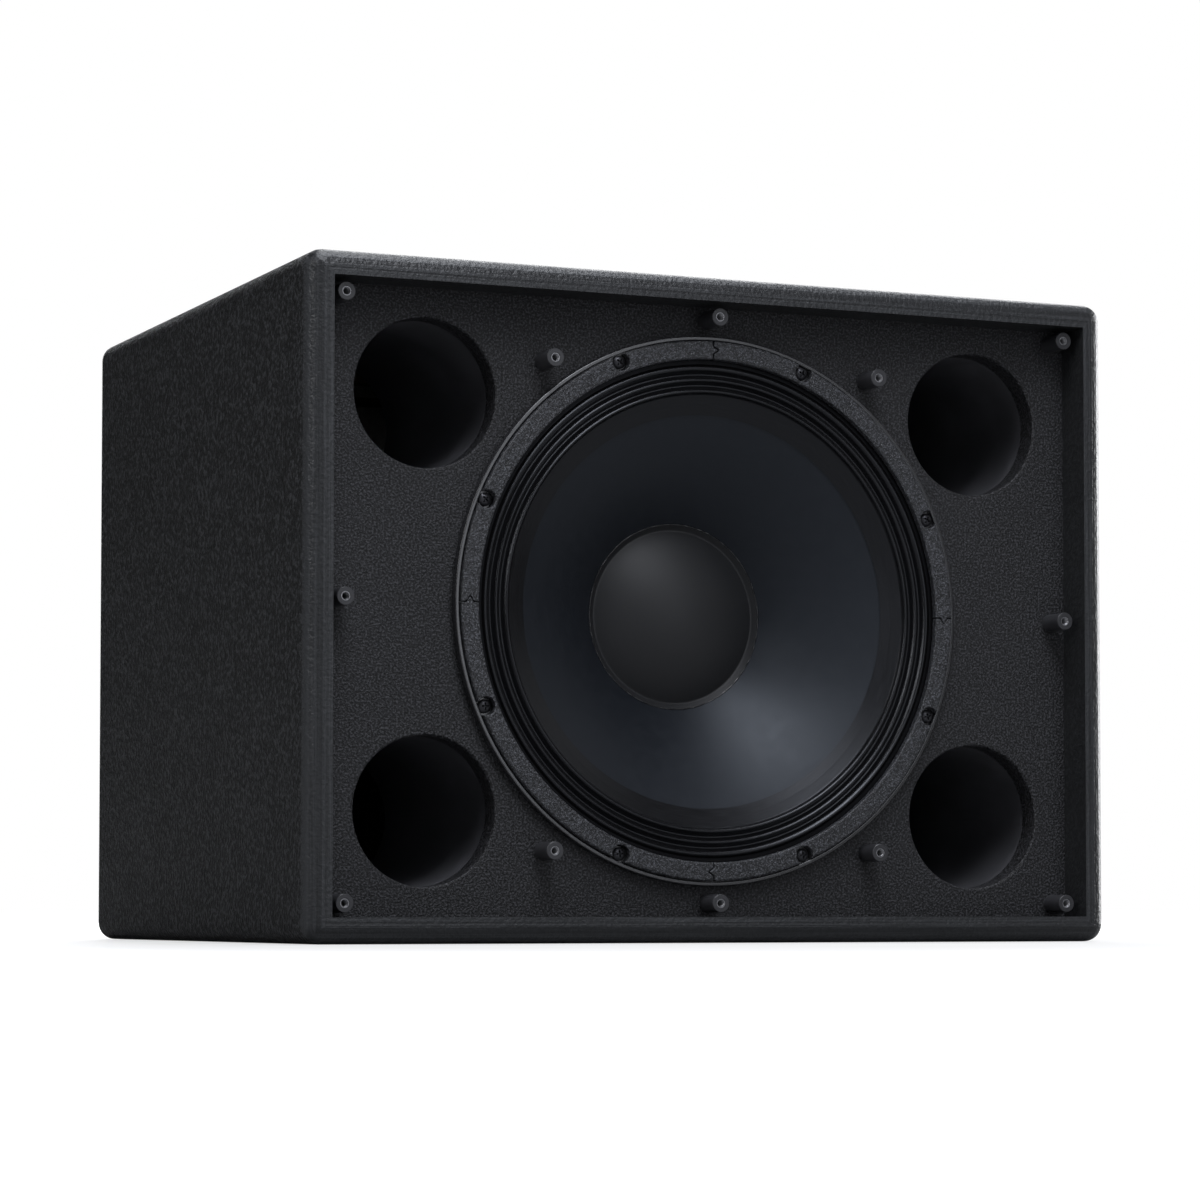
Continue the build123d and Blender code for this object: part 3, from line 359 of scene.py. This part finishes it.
def back_coating():
    """The back panel's coating, cracked along the joint between the panel and the walls."""
    look = coating("back_coating", SHELL_COAT, 3.0, 3.0, highlight_contrast=3.0)
    low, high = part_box("back_panel")
    parts = look.add("SeparateXYZ", {0: look.place}).outputs
    across = look.math("SUBTRACT", high.x, look.math("ABSOLUTE", parts["X"]))
    upward = look.math("ABSOLUTE", look.math("SUBTRACT", parts["Z"], (low.z + high.z) / 2))
    upward = look.math("SUBTRACT", (high.z - low.z) / 2, upward)
    joint_end, joint_full = (limit * MM for limit in JOINT_EDGE)
    joint = look.between(look.math("MINIMUM", across, upward), joint_end, joint_full)
    look.paint(joint, (0.0010, 0.0010, 0.0010))
    look.bump(joint, -0.8)
    return look.material


def cast_coat():
    look = Look("frame_casting", (0.018, 0.018, 0.020), 0.21, gloss=1.0)
    grain = look.noise(0.9, 2)
    look.paint(look.between(grain, 0.55, 0.75, 0, 0.5), (0.030, 0.030, 0.033))
    look.polish(look.noise(14, 3), 0.26)
    look.bump(grain, 0.03)
    return look.material


def gasket_grain():
    look = Look("gasket_rubber", (0.019, 0.0195, 0.0220), 0.43)
    grain = look.noise(1.5, 2, 0.6)
    painted_glints = look.noise(0.8, 1)
    # the raised grain is painted paler and its hollows darker, as painted highlight and painted shade, and
    # the small bright sparks are painted glints
    look.paint(look.between(grain, 0.52, 0.66, 0, 0.9), (0.080, 0.083, 0.094))
    look.paint(look.between(grain, 0.48, 0.36, 0, 0.9), (0.005, 0.005, 0.006))
    look.paint(look.between(painted_glints, 0.60, 0.70, 0, 0.8), (0.200, 0.205, 0.220))
    look.bump(grain, 0.9)
    return look.material


THREAD_SPACING = 0.7
WEAVE_RADIUS = 165.0
LIP_EDGE = (153.0, 155.0)  # radii between which the brushed lip ends
OUTER_FLANK = (172.2, 173.8)


def doped_cloth():
    """Woven surround under a sealing coat, brushed on round the cone's edge."""
    look = Look("doped_cloth", (0.0042, 0.0041, 0.0045), 0.15, gloss=0.4)
    radius, angle = look.polar()
    lip_start, lip_end = (limit * MM for limit in LIP_EDGE)
    flank_start, flank_end = (limit * MM for limit in OUTER_FLANK)
    rows = look.math("SINE", look.math("MULTIPLY", radius, math.tau / (THREAD_SPACING * MM)))
    thread_count = round(math.tau * WEAVE_RADIUS / THREAD_SPACING)
    threads = look.math("SINE", look.math("MULTIPLY", angle, thread_count))
    weave = look.math("MULTIPLY", rows, threads)
    stroke = {0: look.math("MULTIPLY", radius, 1800), 1: look.math("MULTIPLY", angle, 9)}
    brush_place = look.add("CombineXYZ", stroke).outputs[0]
    brush = look.add("TexNoise", {"Vector": brush_place, "Scale": 1.0, "Detail": 3}).outputs["Fac"]
    on_lip = look.between(radius, lip_end, lip_start)
    bristles = look.between(brush, 0.4, 0.75, 0.1, 0.8)
    look.paint(look.math("MULTIPLY", on_lip, bristles), (0.0088, 0.0090, 0.0104))
    look.polish(look.math("MULTIPLY", on_lip, look.between(brush, 0.3, 0.7, 0.6, 1)), 0.40)
    outer_flank = look.between(radius, flank_start, flank_end)
    dulled = look.math("MULTIPLY", outer_flank, 0.42)
    gloss = look.math("SUBTRACT", look.between(radius, lip_start, lip_end, 0.36, 0.52), dulled)
    look.feed(look.shader.inputs["Specular IOR Level"], gloss)
    look.feed(look.shader.inputs["Specular Tint"], (0.90, 0.93, 1.0, 1))
    lumps = look.noise(0.9, 2)
    look.bump(look.math("MULTIPLY", weave, look.math("SUBTRACT", 1.0, on_lip)), 0.02)
    look.bump(lumps, 0.035)
    look.bump(look.math("MULTIPLY", brush, on_lip), 0.05)
    return look.material


def cone_paper():
    look = Look("cone_paper", (0.0072, 0.0088, 0.0124), 0.44, gloss=0.45)
    look.feed(look.shader.inputs["Specular Tint"], (0.86, 0.92, 1.0, 1))
    fibres = look.noise(0.7, 4, 0.65)
    mottle = look.noise(9, 4, 0.6)
    look.paint(look.between(mottle, 0.35, 0.7, 0, 0.35), (0.0125, 0.0145, 0.0185))
    look.paint(look.between(fibres, 0.6, 0.78, 0, 0.35), (0.022, 0.025, 0.030))
    look.polish(look.between(mottle, 0.3, 0.7), 0.48)
    look.bump(fibres, 0.03)
    look.bump(mottle, 0.015)
    return look.material


def cap_paper():
    look = Look("cap_paper", (0.0150, 0.0154, 0.0170), 0.52, gloss=0.45)
    fibres = look.noise(0.6, 4, 0.6)
    look.paint(look.between(fibres, 0.58, 0.78, 0, 0.3), (0.028, 0.029, 0.032))
    look.paint(look.between(look.noise(30, 3), 0.4, 0.7, 0, 0.3), (0.0125, 0.0130, 0.0145))
    look.bump(fibres, 0.02)
    return look.material


def speckled(name, color, roughness, metallic=0.0, grain=1.0, depth=0.02):
    """A plain moulded, plated or painted surface with a fine grain, faint cloudiness and uneven gloss."""
    look = Look(name, color, roughness, metallic)
    fine = look.noise(grain, 3, 0.6)
    cloudy = look.noise(grain * 18, 3)
    look.paint(look.between(cloudy, 0.35, 0.7, 0, 0.6), tuple(min(1, c * 1.5) for c in color))
    look.polish(look.between(cloudy, 0.3, 0.7), min(1, roughness * 1.25))
    look.bump(fine, depth)
    return look.material


def brushed(name, color, roughness):
    """Plated steel with fine turning marks."""
    look = Look(name, color, roughness, 1.0)
    radius, _ = look.polar()
    marks = look.math("SINE", look.math("MULTIPLY", radius, 9000.0))
    look.polish(look.between(look.noise(12, 3), 0.3, 0.7), roughness + 0.15)
    look.paint(look.between(look.noise(30, 3), 0.4, 0.7, 0, 0.3), tuple(c * 0.7 for c in color))
    look.bump(marks, 0.008)
    return look.material


def bare_plywood():
    """Plywood inside the cabinet, its colour darkened as painted shade so that it doesn't show through the
    ducts.
    """
    look = Look("bare_plywood", (0.075, 0.050, 0.030), 0.6)
    grain = look.noise(1000, 4, 0.6, look.stretched(6, 220, 220))
    look.paint(look.between(grain, 0.4, 0.65, 0, 0.6), (0.045, 0.028, 0.016))
    pores = look.noise(1000, 2, 0.5, look.stretched(40, 1500, 1500))
    look.paint(look.between(pores, 0.62, 0.75, 0, 0.5), (0.020, 0.012, 0.007))
    look.bump(grain, 0.08)
    return look.material


def felt():
    look = Look("lining_felt", (0.56, 0.56, 0.52), 0.95)
    fibres = look.noise(1.4, 5, 0.7)
    clumps = look.noise(22, 4, 0.6)
    look.paint(look.between(clumps, 0.35, 0.7, 0, 0.6), (0.44, 0.44, 0.41))
    look.paint(look.between(fibres, 0.55, 0.75, 0, 0.5), (0.66, 0.66, 0.63))
    look.bump(clumps, 2.0)
    look.bump(fibres, 0.6)
    look.shader.inputs["Sheen Weight"].default_value = 0.3
    return look.material


def spider_cloth():
    look = Look("spider_cloth", (0.42, 0.26, 0.09), 0.75)
    radius, angle = look.polar()
    rows = look.math("SINE", look.math("MULTIPLY", radius, math.tau / (0.9 * MM)))
    threads = look.math("SINE", look.math("MULTIPLY", angle, 420.0))
    weave = look.math("MULTIPLY", rows, threads)
    look.paint(look.between(weave, -0.2, 0.8, 0, 0.6), (0.55, 0.37, 0.15))
    look.bump(weave, 0.12)
    return look.material


def braid():
    look = Look("lead_braid", (0.55, 0.30, 0.16), 0.35, 0.9)
    twill = look.noise(0.6, 2)
    look.paint(look.between(twill, 0.45, 0.6, 0, 0.8), (0.20, 0.10, 0.05))
    look.bump(twill, 0.15)
    return look.material


BLACK_COAT = (0.0150, 0.0150, 0.0165)
MATERIALS = {
    "baffle_paint": coating("baffle_paint", BLACK_COAT, 1.5, 1.0).material,
    "duct_plastic": speckled("duct_plastic", (0.062, 0.062, 0.068), 0.6, grain=1.6, depth=0.05),
    "standoff_plastic": speckled("standoff_plastic", (0.030, 0.030, 0.033), 0.34, grain=0.6, depth=0.02),
    "insert_steel": speckled("insert_steel", (0.34, 0.34, 0.35), 0.36, 1.0, grain=0.4, depth=0.01),
    "frame_casting": cast_coat(),
    "gasket_rubber": gasket_grain(),
    "seal_foam": speckled("seal_foam", (0.010, 0.010, 0.011), 0.9, grain=0.8, depth=0.15),
    "black_steel": speckled("black_steel", (0.055, 0.055, 0.060), 0.36, 0.9, grain=0.4, depth=0.012),
    "zinc_steel": brushed("zinc_steel", (0.55, 0.56, 0.58), 0.3),
    "cone_paper": cone_paper(),
    "cap_paper": cap_paper(),
    "doped_cloth": doped_cloth(),
    "spider_cloth": spider_cloth(),
    "coil_former": speckled("coil_former", (0.40, 0.14, 0.02), 0.3, grain=0.8, depth=0.01),
    "coil_wire": brushed("coil_wire", (0.62, 0.26, 0.12), 0.28),
    "ferrite": speckled("ferrite", (0.045, 0.045, 0.048), 0.6, grain=0.7, depth=0.05),
    "board_fibre": speckled("board_fibre", (0.11, 0.045, 0.018), 0.5, grain=1.2, depth=0.03),
    "tab_brass": speckled("tab_brass", (0.60, 0.48, 0.20), 0.28, 1.0, grain=0.6, depth=0.01),
    "lead_braid": braid(),
    "bare_plywood": bare_plywood(),
    "plate_plastic": speckled("plate_plastic", (0.013, 0.013, 0.014), 0.45, grain=0.8, depth=0.05),
    "socket_plastic": speckled("socket_plastic", (0.010, 0.010, 0.012), 0.26, grain=1.5, depth=0.01),
    "wire_red": speckled("wire_red", (0.30, 0.012, 0.008), 0.42, grain=2.0, depth=0.02),
    "wire_black": speckled("wire_black", (0.008, 0.008, 0.008), 0.42, grain=2.0, depth=0.02),
    "lining_felt": felt(),
}
WALLS = {
    "top_panel": wall_coating("top_coating", "Z", cad_high.z, (12, 900, 900)),
    "bottom_panel": wall_coating("bottom_coating", "Z", cad_low.z, (12, 900, 900)),
    "left_side_panel": wall_coating("left_coating", "X", cad_low.x, (900, 900, 12)),
    "right_side_panel": wall_coating("right_coating", "X", cad_high.x, (900, 900, 12)),
    "back_panel": back_coating(),
}
for node_name, cad_object in NODES.items():
    cad_object.data.materials.clear()
    cad_object.data.materials.append(WALLS.get(node_name) or MATERIALS[SLOTS[node_name]])

# ---- Woofer: moving pieces and suspension ------------------------------------------------------


def fine_ripple(amount, size):
    """Small unevenness round the axis, in mm."""

    def lift(angle, radius):
        point = Vector((math.cos(angle) * radius / size, math.sin(angle) * radius / size, radius * 0.1))
        return amount * noise.noise(point)

    return lift


def bend_by_radius(piece):
    """Bakes a piece's placement into its mesh."""
    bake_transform(piece)


cone_radii, cone_depths = front_of("woofer_cone")
lip_radii, _ = front_of("surround")
SURROUND_OUTER = lip_radii[-1]
SURROUND_INNER = lip_radii[0]
GLUE_R = 0.55
GLUE_OFFSET = 0.25

bm = bmesh.new()
surround_line = smooth_line("surround", SURROUND_OUTER, SURROUND_INNER, 0.3)
revolve(bm, thick_line(surround_line, 0.8), 360, fine_ripple(0.02, 5))
cloth = MATERIALS["doped_cloth"]
surround = finish_piece("surround_cloth", bm, cloth, body=None, sharp_degrees=60)
bend_by_radius(surround)
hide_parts("surround")

bm = bmesh.new()
spider_radii, _ = front_of("spider")
spider_line = smooth_line("spider", spider_radii[-1], spider_radii[0], 0.5)
revolve(bm, thick_line(spider_line, 0.7), 240, fine_ripple(0.05, 5))
cloth = MATERIALS["spider_cloth"]
spider = finish_piece("spider_cloth_disc", bm, cloth, body=None, sharp_degrees=60)
bend_by_radius(spider)
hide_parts("spider")

bm = bmesh.new()
cone_line = smooth_line("woofer_cone", cone_radii[-1], cone_radii[0], 1.2)
revolve(bm, thick_line(cone_line, 1.0), 360, fine_ripple(0.08, 40))
cone = finish_piece("paper_cone", bm, MATERIALS["cone_paper"], MOVING)
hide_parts("woofer_cone")

bm = bmesh.new()
cap_radii, _ = front_of("dust_cap")
cap_line = smooth_line("dust_cap", cap_radii[-1], 0.0, 0.5)
revolve(bm, thick_line(cap_line, 0.8), 240)
cap = finish_piece("dome_cap", bm, MATERIALS["cap_paper"], MOVING)
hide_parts("dust_cap")

# the glue that squeezed out round the cap's edge
glue_radius = cap_radii[-1] + GLUE_OFFSET
glue_depth = float(np.interp(glue_radius, cone_radii, cone_depths)) - GLUE_OFFSET
glue_section = []
for turn in range(10):
    angle = turn * math.tau / 10
    glue_section.append((glue_radius + GLUE_R * math.cos(angle), glue_depth + GLUE_R * math.sin(angle)))
bm = bmesh.new()
revolve(bm, glue_section, 480, fine_ripple(0.35, 4))
glue_look = speckled("glue", (0.012, 0.012, 0.013), 0.2, grain=1.5, depth=0.03)
glue_bead = finish_piece("cap_glue_bead", bm, glue_look, MOVING)

# ---- Gaskets -----------------------------------------------------------------------------------


SEAM_OPENING = 0.22
SEAL_WIDTH = 14.5


def grained_copy(node, voxel, grain, height):
    """A moulded piece over a CAD node: the same solid, evenly meshed, with its grain raised in the mesh.

    Faces that look along the ring, such as those of the seams, draw back a little, so that the seams show.
    """
    source = bpy.data.objects.new("source", NODES[node].data.copy())
    bpy.context.scene.collection.objects.link(source)
    weld = source.modifiers.new("weld", "WELD")
    weld.merge_threshold = 1e-5
    remesh = source.modifiers.new("remesh", "REMESH")
    remesh.mode = "VOXEL"
    remesh.voxel_size = voxel * MM
    bpy.context.view_layer.update()
    solid = bpy.data.meshes.new_from_object(source.evaluated_get(bpy.context.evaluated_depsgraph_get()))
    bm = bmesh.new()
    bm.from_mesh(solid)
    bpy.data.objects.remove(source)
    bpy.data.meshes.remove(solid)
    bmesh.ops.smooth_vert(bm, verts=bm.verts, factor=0.4, use_axis_x=True, use_axis_y=True, use_axis_z=True)
    bm.normal_update()
    for vertex in bm.verts:
        lift = (noise.noise(vertex.co / (grain * MM)) - 0.35) * height
        outward = Vector((vertex.co.x, 0, vertex.co.z - CENTRE_Z)).normalized()
        along = abs(vertex.normal.x * outward.z - vertex.normal.z * outward.x)
        lift -= SEAM_OPENING * min(max((along - 0.3) / 0.2, 0), 1)
        vertex.co += vertex.normal * lift * MM
    piece = finish_piece("moulded_" + node, bm, MATERIALS[SLOTS[node]], sharp_degrees=180)
    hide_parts(node)


for place in ("upper_right", "upper_left", "lower_left", "lower_right"):
    grained_copy("gasket_" + place, 0.55, 1.3, 0.10)

rear_low, rear_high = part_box("woofer_rear_gasket")
seal_outer = rear_high.x / MM
seal_inner = seal_outer - SEAL_WIDTH
seal_front = (rear_low.y - FRONT_Y) / MM
seal_rear = (rear_high.y - FRONT_Y) / MM
seal_middle = (seal_front + seal_rear) / 2
seal_section = [
    (seal_outer - 0.5, seal_front),
    (seal_inner + 0.5, seal_front),
    (seal_inner + 0.1, seal_middle - 0.4),
    (seal_inner, seal_middle),
    (seal_inner + 0.1, seal_middle + 0.4),
    (seal_inner + 0.5, seal_rear),
    (seal_outer - 0.5, seal_rear),
    (seal_outer - 0.1, seal_middle + 0.4),
    (seal_outer, seal_middle),
    (seal_outer - 0.1, seal_middle - 0.4),
]
bm = bmesh.new()
revolve(bm, seal_section, 240)
seal = finish_piece("foam_seal", bm, MATERIALS["seal_foam"])
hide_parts("woofer_rear_gasket")

# ---- Screws ------------------------------------------------------------------------------------


def solids_of(node):
    """The lowest and highest corner of each separate solid in a CAD node."""
    mesh = NODES[node].data
    points = np.zeros(len(mesh.vertices) * 3)
    mesh.vertices.foreach_get("co", points)
    points = points.reshape(-1, 3)
    corners = np.zeros(len(mesh.loops), int)
    mesh.loops.foreach_get("vertex_index", corners)
    _, same = np.unique(np.round(points, 6), axis=0, return_inverse=True)
    same = same.ravel()
    faces = same[corners].reshape(-1, 3)
    group = np.arange(same.max() + 1)
    while True:
        lowest = group[faces].min(axis=1)
        after = group.copy()
        for corner in range(3):
            np.minimum.at(after, faces[:, corner], lowest)
        after = after[after]
        if (after == group).all():
            break
        group = after
    found = group[same]
    return [(points[found == g].min(0), points[found == g].max(0)) for g in np.unique(found)]


def cross_recess(x, y, reach, width, depth):
    """Depth of a cross-shaped drive recess at a point of a screw's head."""
    along = max(abs(x), abs(y))
    aside = min(abs(x), abs(y))
    arm = width * (1 - 0.35 * along / reach)
    side = min(max((arm - aside) / (width * 0.45), 0), 1)
    end = min(max((reach - along) / (reach * 0.18), 0), 1)
    return depth * side * end * (1 - 0.4 * along / reach)


def add_screw(bm, centre, outward, head_radius, crown, rim, shank_radius, length, turn, countersunk=False):
    """A screw with a cross recess. centre is the middle of its head's underside, outward is +1 for +Y."""
    sides = 72
    reach = head_radius * 0.56
    rows = []
    for step in range(1, 25):
        radius = head_radius * 0.97 * step / 24
        rows.append((radius, rim + (crown - rim) * (1 - (radius / head_radius) ** 2.6), True))
    rows.append((head_radius, rim * 0.82, False))
    if not countersunk:
        rows.append((head_radius, rim * 0.15, False))
        rows.append((head_radius * 0.98, 0, False))
        rows.append((shank_radius, 0, False))
    else:
        rows.append((shank_radius, rim - (head_radius - shank_radius), False))
    rows.append((shank_radius, -length + 1, False))
    rows.append((shank_radius * 0.6, -length, False))

    def point(x, y, height):
        return centre + Vector((x * MM, outward * height * MM, y * MM))

    rings = []
    for radius, height, recessed in rows:
        ring = []
        for side in range(sides):
            angle = math.tau * side / sides
            x, y = radius * math.cos(angle), radius * math.sin(angle)
            cut = 0
            if recessed:
                local = angle - turn
                u, v = radius * math.cos(local), radius * math.sin(local)
                cut = cross_recess(u, v, reach, head_radius * 0.17, crown * 0.62)
            ring.append(bm.verts.new(point(x, y, height - cut)))
        rings.append(ring)
    top = bm.verts.new(point(0, 0, crown - crown * 0.62))
    tip = bm.verts.new(point(0, 0, -length))
    for side in range(sides):
        following = (side + 1) % sides
        bm.faces.new((top, rings[0][side], rings[0][following]))
        for inner, outer in zip(rings, rings[1:]):
            bm.faces.new((inner[side], outer[side], outer[following], inner[following]))
        bm.faces.new((tip, rings[-1][following], rings[-1][side]))


GOLDEN_TURN = 2.39996
WORN_STEEL = speckled("worn_black_steel", (0.14, 0.14, 0.15), 0.32, 0.9, grain=0.5, depth=0.012)


def screw_group(name, node, outward, head_radius, crown, rim, shank_radius, countersunk=False, worn=False):
    """Replaces a CAD group of screws, each turned to its own angle as real ones are."""
    bm = bmesh.new()
    in_order = sorted(solids_of(node), key=lambda box: tuple(box[0].round(3)))
    for index, (low, high) in enumerate(in_order):
        length = (high[1] - low[1]) / MM - crown
        head_face = high[1] if outward > 0 else low[1]
        underside = head_face - outward * crown * MM
        centre = Vector(((low[0] + high[0]) / 2, underside, (low[2] + high[2]) / 2))
        turn = index * GOLDEN_TURN
        add_screw(bm, centre, outward, head_radius, crown, rim, shank_radius, length, turn, countersunk)
    steel = WORN_STEEL if worn else MATERIALS[SLOTS[node]]
    piece = finish_piece(name, bm, steel, sharp_degrees=40)
    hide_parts(node)


screw_group("woofer_pan_screws", "woofer_screws", -1, 4.8, 4.0, 2.0, 2.45)
screw_group("back_wood_screws", "back_panel_screws", 1, 4.1, 0.6, 0.55, 1.9, countersunk=True, worn=True)
screw_group("plate_wood_screws", "input_plate_screws", 1, 4.0, 0.6, 0.55, 1.9, countersunk=True, worn=True)
screw_group("socket_pan_screws", "socket_screws", 1, 2.6, 1.8, 0.9, 1.4)

# ---- Grille inserts ----------------------------------------------------------------------------

THREAD_PITCH = 0.7
THREAD_R = 2.1
THREAD_DEPTH = 0.35
ENTRY_R = 2.7
INSERT_SIDES = 48


def insert_section(outer, length):
    """Half section of a threaded insert, as points of (radius, depth): rim, entry chamfer and thread."""
    section = [(outer, 0.2), (outer - 0.15, 0.0), (ENTRY_R, 0.0), (THREAD_R + THREAD_DEPTH, 0.6)]
    depth = 0.6 + THREAD_PITCH / 2
    root = False
    while depth < length - 0.2:
        section.append((THREAD_R + (THREAD_DEPTH if root else 0), depth))
        depth += THREAD_PITCH / 2
        root = not root
    return section + [(THREAD_R, length), (outer, length)]


bm = bmesh.new()
for low, high in solids_of("standoff_inserts"):
    section = insert_section((high[0] - low[0]) / 2 / MM, (high[1] - low[1]) / MM)
    rings = []
    for side in range(INSERT_SIDES):
        angle = math.tau * side / INSERT_SIDES
        middle = Vector(((low[0] + high[0]) / 2, low[1], (low[2] + high[2]) / 2))
        ring = []
        for radius, depth in section:
            offset = Vector((radius * math.cos(angle), depth, radius * math.sin(angle)))
            ring.append(bm.verts.new(middle + offset * MM))
        rings.append(ring)
    join_rings(bm, rings)
inserts = finish_piece("threaded_inserts", bm, MATERIALS["insert_steel"])
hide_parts("standoff_inserts")

# ---- Soft pieces inside the cabinet ------------------------------------------------------------


LINING_CELL = 14.0
LINING_LUMP = 30.0


def lining_pad(node):
    """A pad of felt that fills a CAD block's space: rounded, uneven, its faces slightly quilted."""
    low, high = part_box(node)
    size = high - low
    cells = [max(4, round(length / (LINING_CELL * MM))) for length in size]
    thin = min(range(3), key=lambda axis: size[axis])
    cells[thin] = 4
    bm = bmesh.new()
    grid = {}

    def vertex(key):
        if key not in grid:
            grid[key] = bm.verts.new([low[a] + size[a] * key[a] / cells[a] for a in range(3)])
        return grid[key]

    for axis in range(3):
        first, second = [a for a in range(3) if a != axis]
        for side in (0, cells[axis]):
            for i in range(cells[first]):
                for j in range(cells[second]):
                    corners = []
                    for di, dj in ((0, 0), (1, 0), (1, 1), (0, 1)):
                        key = [0, 0, 0]
                        key[axis], key[first], key[second] = side, i + di, j + dj
                        corners.append(vertex(tuple(key)))
                    bm.faces.new(corners)
    middle = (low + high) / 2
    radius = size[thin] * 0.48
    for v in bm.verts:
        core = Vector([min(max(v.co[a], low[a] + radius), high[a] - radius) for a in range(3)])
        away = v.co - core
        reach = radius * (0.90 + 0.10 * noise.noise(v.co / (LINING_LUMP * MM)))
        v.co = core + away.normalized() * reach if away.length > 1e-6 else v.co
    piece = finish_piece(node + "_felt", bm, MATERIALS["lining_felt"], sharp_degrees=180)
    subdivision = piece.modifiers.new("smooth", "SUBSURF")
    subdivision.levels = subdivision.render_levels = 1
    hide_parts(node)


for pad in ("lining_left", "lining_right", "lining_top", "lining_back"):
    lining_pad(pad)

# the flexible leads between the terminal tabs and the back of the cone, as a copy of the CAD node's mesh
leads = bpy.data.objects.new("braided_leads", NODES["tinsel_leads"].data.copy())
bpy.context.scene.collection.objects.link(leads)
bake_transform(leads)
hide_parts("tinsel_leads")

# ---- Studio ------------------------------------------------------------------------------------


FLOOR_GLOW = 0.60


def floor_look():
    """Pale floor, softly shaded near the cabinet and fading into the white backdrop further out."""
    look = Look("floor", (0.27, 0.27, 0.27), 0.7, gloss=0.1)
    look.polish(look.noise(400, 2), 0.66)
    parts = look.add("SeparateXYZ", {0: look.place}).outputs
    squares = look.math("ADD", look.math("POWER", parts["X"], 2.0), look.math("POWER", parts["Y"], 2.0))
    away = look.between(look.math("SQRT", squares), 0.5, 1.3, FLOOR_GLOW, 1.0)
    seen = look.add("LightPath").outputs["Is Camera Ray"]
    look.feed(look.shader.inputs["Emission Color"], (1, 1, 1, 1))
    look.feed(look.shader.inputs["Emission Strength"], look.math("MULTIPLY", away, seen))
    return look.material


bm = bmesh.new()
bmesh.ops.create_grid(bm, x_segments=2, y_segments=2, size=14)
floor_mesh = bpy.data.meshes.new("floor")
bm.to_mesh(floor_mesh)
bm.free()
floor = bpy.data.objects.new("floor", floor_mesh)
floor.location.z = cad_low.z - 0.0002
floor_mesh.materials.append(floor_look())
bpy.context.scene.collection.objects.link(floor)


def softbox(name, azimuth, elevation, distance, width, height, power, color=(1, 1, 1)):
    """A rectangular light aimed at the cabinet's front, in metres, degrees and watts.

    Azimuth 0 is straight in front and 90 is to the right.
    """
    light = bpy.data.lights.new(name, "AREA")
    light.shape = "RECTANGLE"
    light.size, light.size_y = width, height
    light.energy = power
    light.color = color
    around, up = math.radians(azimuth), math.radians(elevation)
    level = math.cos(up)
    away = Vector((math.sin(around) * level, -math.cos(around) * level, math.sin(up)))
    lamp = bpy.data.objects.new(name, light)
    lamp.visible_camera = False
    lamp.location = Vector((0, FRONT_Y + 0.1, CENTRE_Z)) + away * distance
    lamp.rotation_euler = (-away).to_track_quat("-Z", "Y").to_euler()
    bpy.context.scene.collection.objects.link(lamp)


COOL = (0.90, 0.93, 1.0)
WHITE = (0.97, 0.98, 1.0)
softbox("key", -15, 58, 2.6, 1.2, 1.2, 32, COOL)
softbox("key_front", 0, 38, 3.0, 1.6, 1.0, 11, COOL)
softbox("front_right", 15, 12, 4.2, 1.5, 2.0, 16, COOL)
softbox("front_left", -28, 6, 4.0, 0.8, 1.4, 6.1, COOL)
softbox("right", 70, 25, 3.4, 1.4, 1.6, 4.4, WHITE)
softbox("left_edge", -73, 26, 3.4, 0.5, 1.4, 18, WHITE)
softbox("overhead", 20, 84, 2.6, 2.2, 0.9, 32, COOL)
softbox("right_edge", 104, 10, 3.2, 1.4, 1.8, 80, WHITE)
softbox("top_edge", 165, 74, 2.8, 1.0, 1.4, 15, WHITE)
softbox("back", 152, 32, 3.4, 1.8, 1.6, 40, WHITE)
softbox("backdrop", 171, 4, 3.2, 1.4, 2.0, 50, WHITE)

FILL_STRENGTH = 0.035
BACKDROP_STRENGTH = 1.0  # what the camera sees of the white surroundings

world = bpy.data.worlds.new("studio")
bpy.context.scene.world = world
world.use_nodes = True
nodes = world.node_tree.nodes
seen = nodes.new("ShaderNodeLightPath")
strength = nodes.new("ShaderNodeMix")
world.node_tree.links.new(seen.outputs["Is Camera Ray"], strength.inputs[0])
strength.inputs[2].default_value = FILL_STRENGTH
strength.inputs[3].default_value = BACKDROP_STRENGTH
world.node_tree.links.new(strength.outputs[0], nodes["Background"].inputs["Strength"])
nodes["Background"].inputs["Color"].default_value = (1, 1, 1, 1)
bpy.context.scene.view_settings.view_transform = "Standard"

# ---- Camera ------------------------------------------------------------------------------------

# low and to the left of the cabinet, in metres and degrees
CAMERA_PLACE = (-1.1337, -2.6306, 0.0253)
CAMERA_TILT = 92.78
CAMERA_TURN = -24.04
SENSOR = 36
LENS = 113.4
SHIFT_ACROSS = -0.0255
SHIFT_UP = 0.1025

camera_data = bpy.data.cameras.new("camera")
camera_data.sensor_width = SENSOR
camera_data.lens = LENS
camera_data.shift_x = SHIFT_ACROSS
camera_data.shift_y = SHIFT_UP
camera = bpy.data.objects.new("camera", camera_data)
camera.location = CAMERA_PLACE
camera.rotation_euler = (math.radians(CAMERA_TILT), 0, math.radians(CAMERA_TURN))
bpy.context.scene.collection.objects.link(camera)
bpy.context.scene.camera = camera
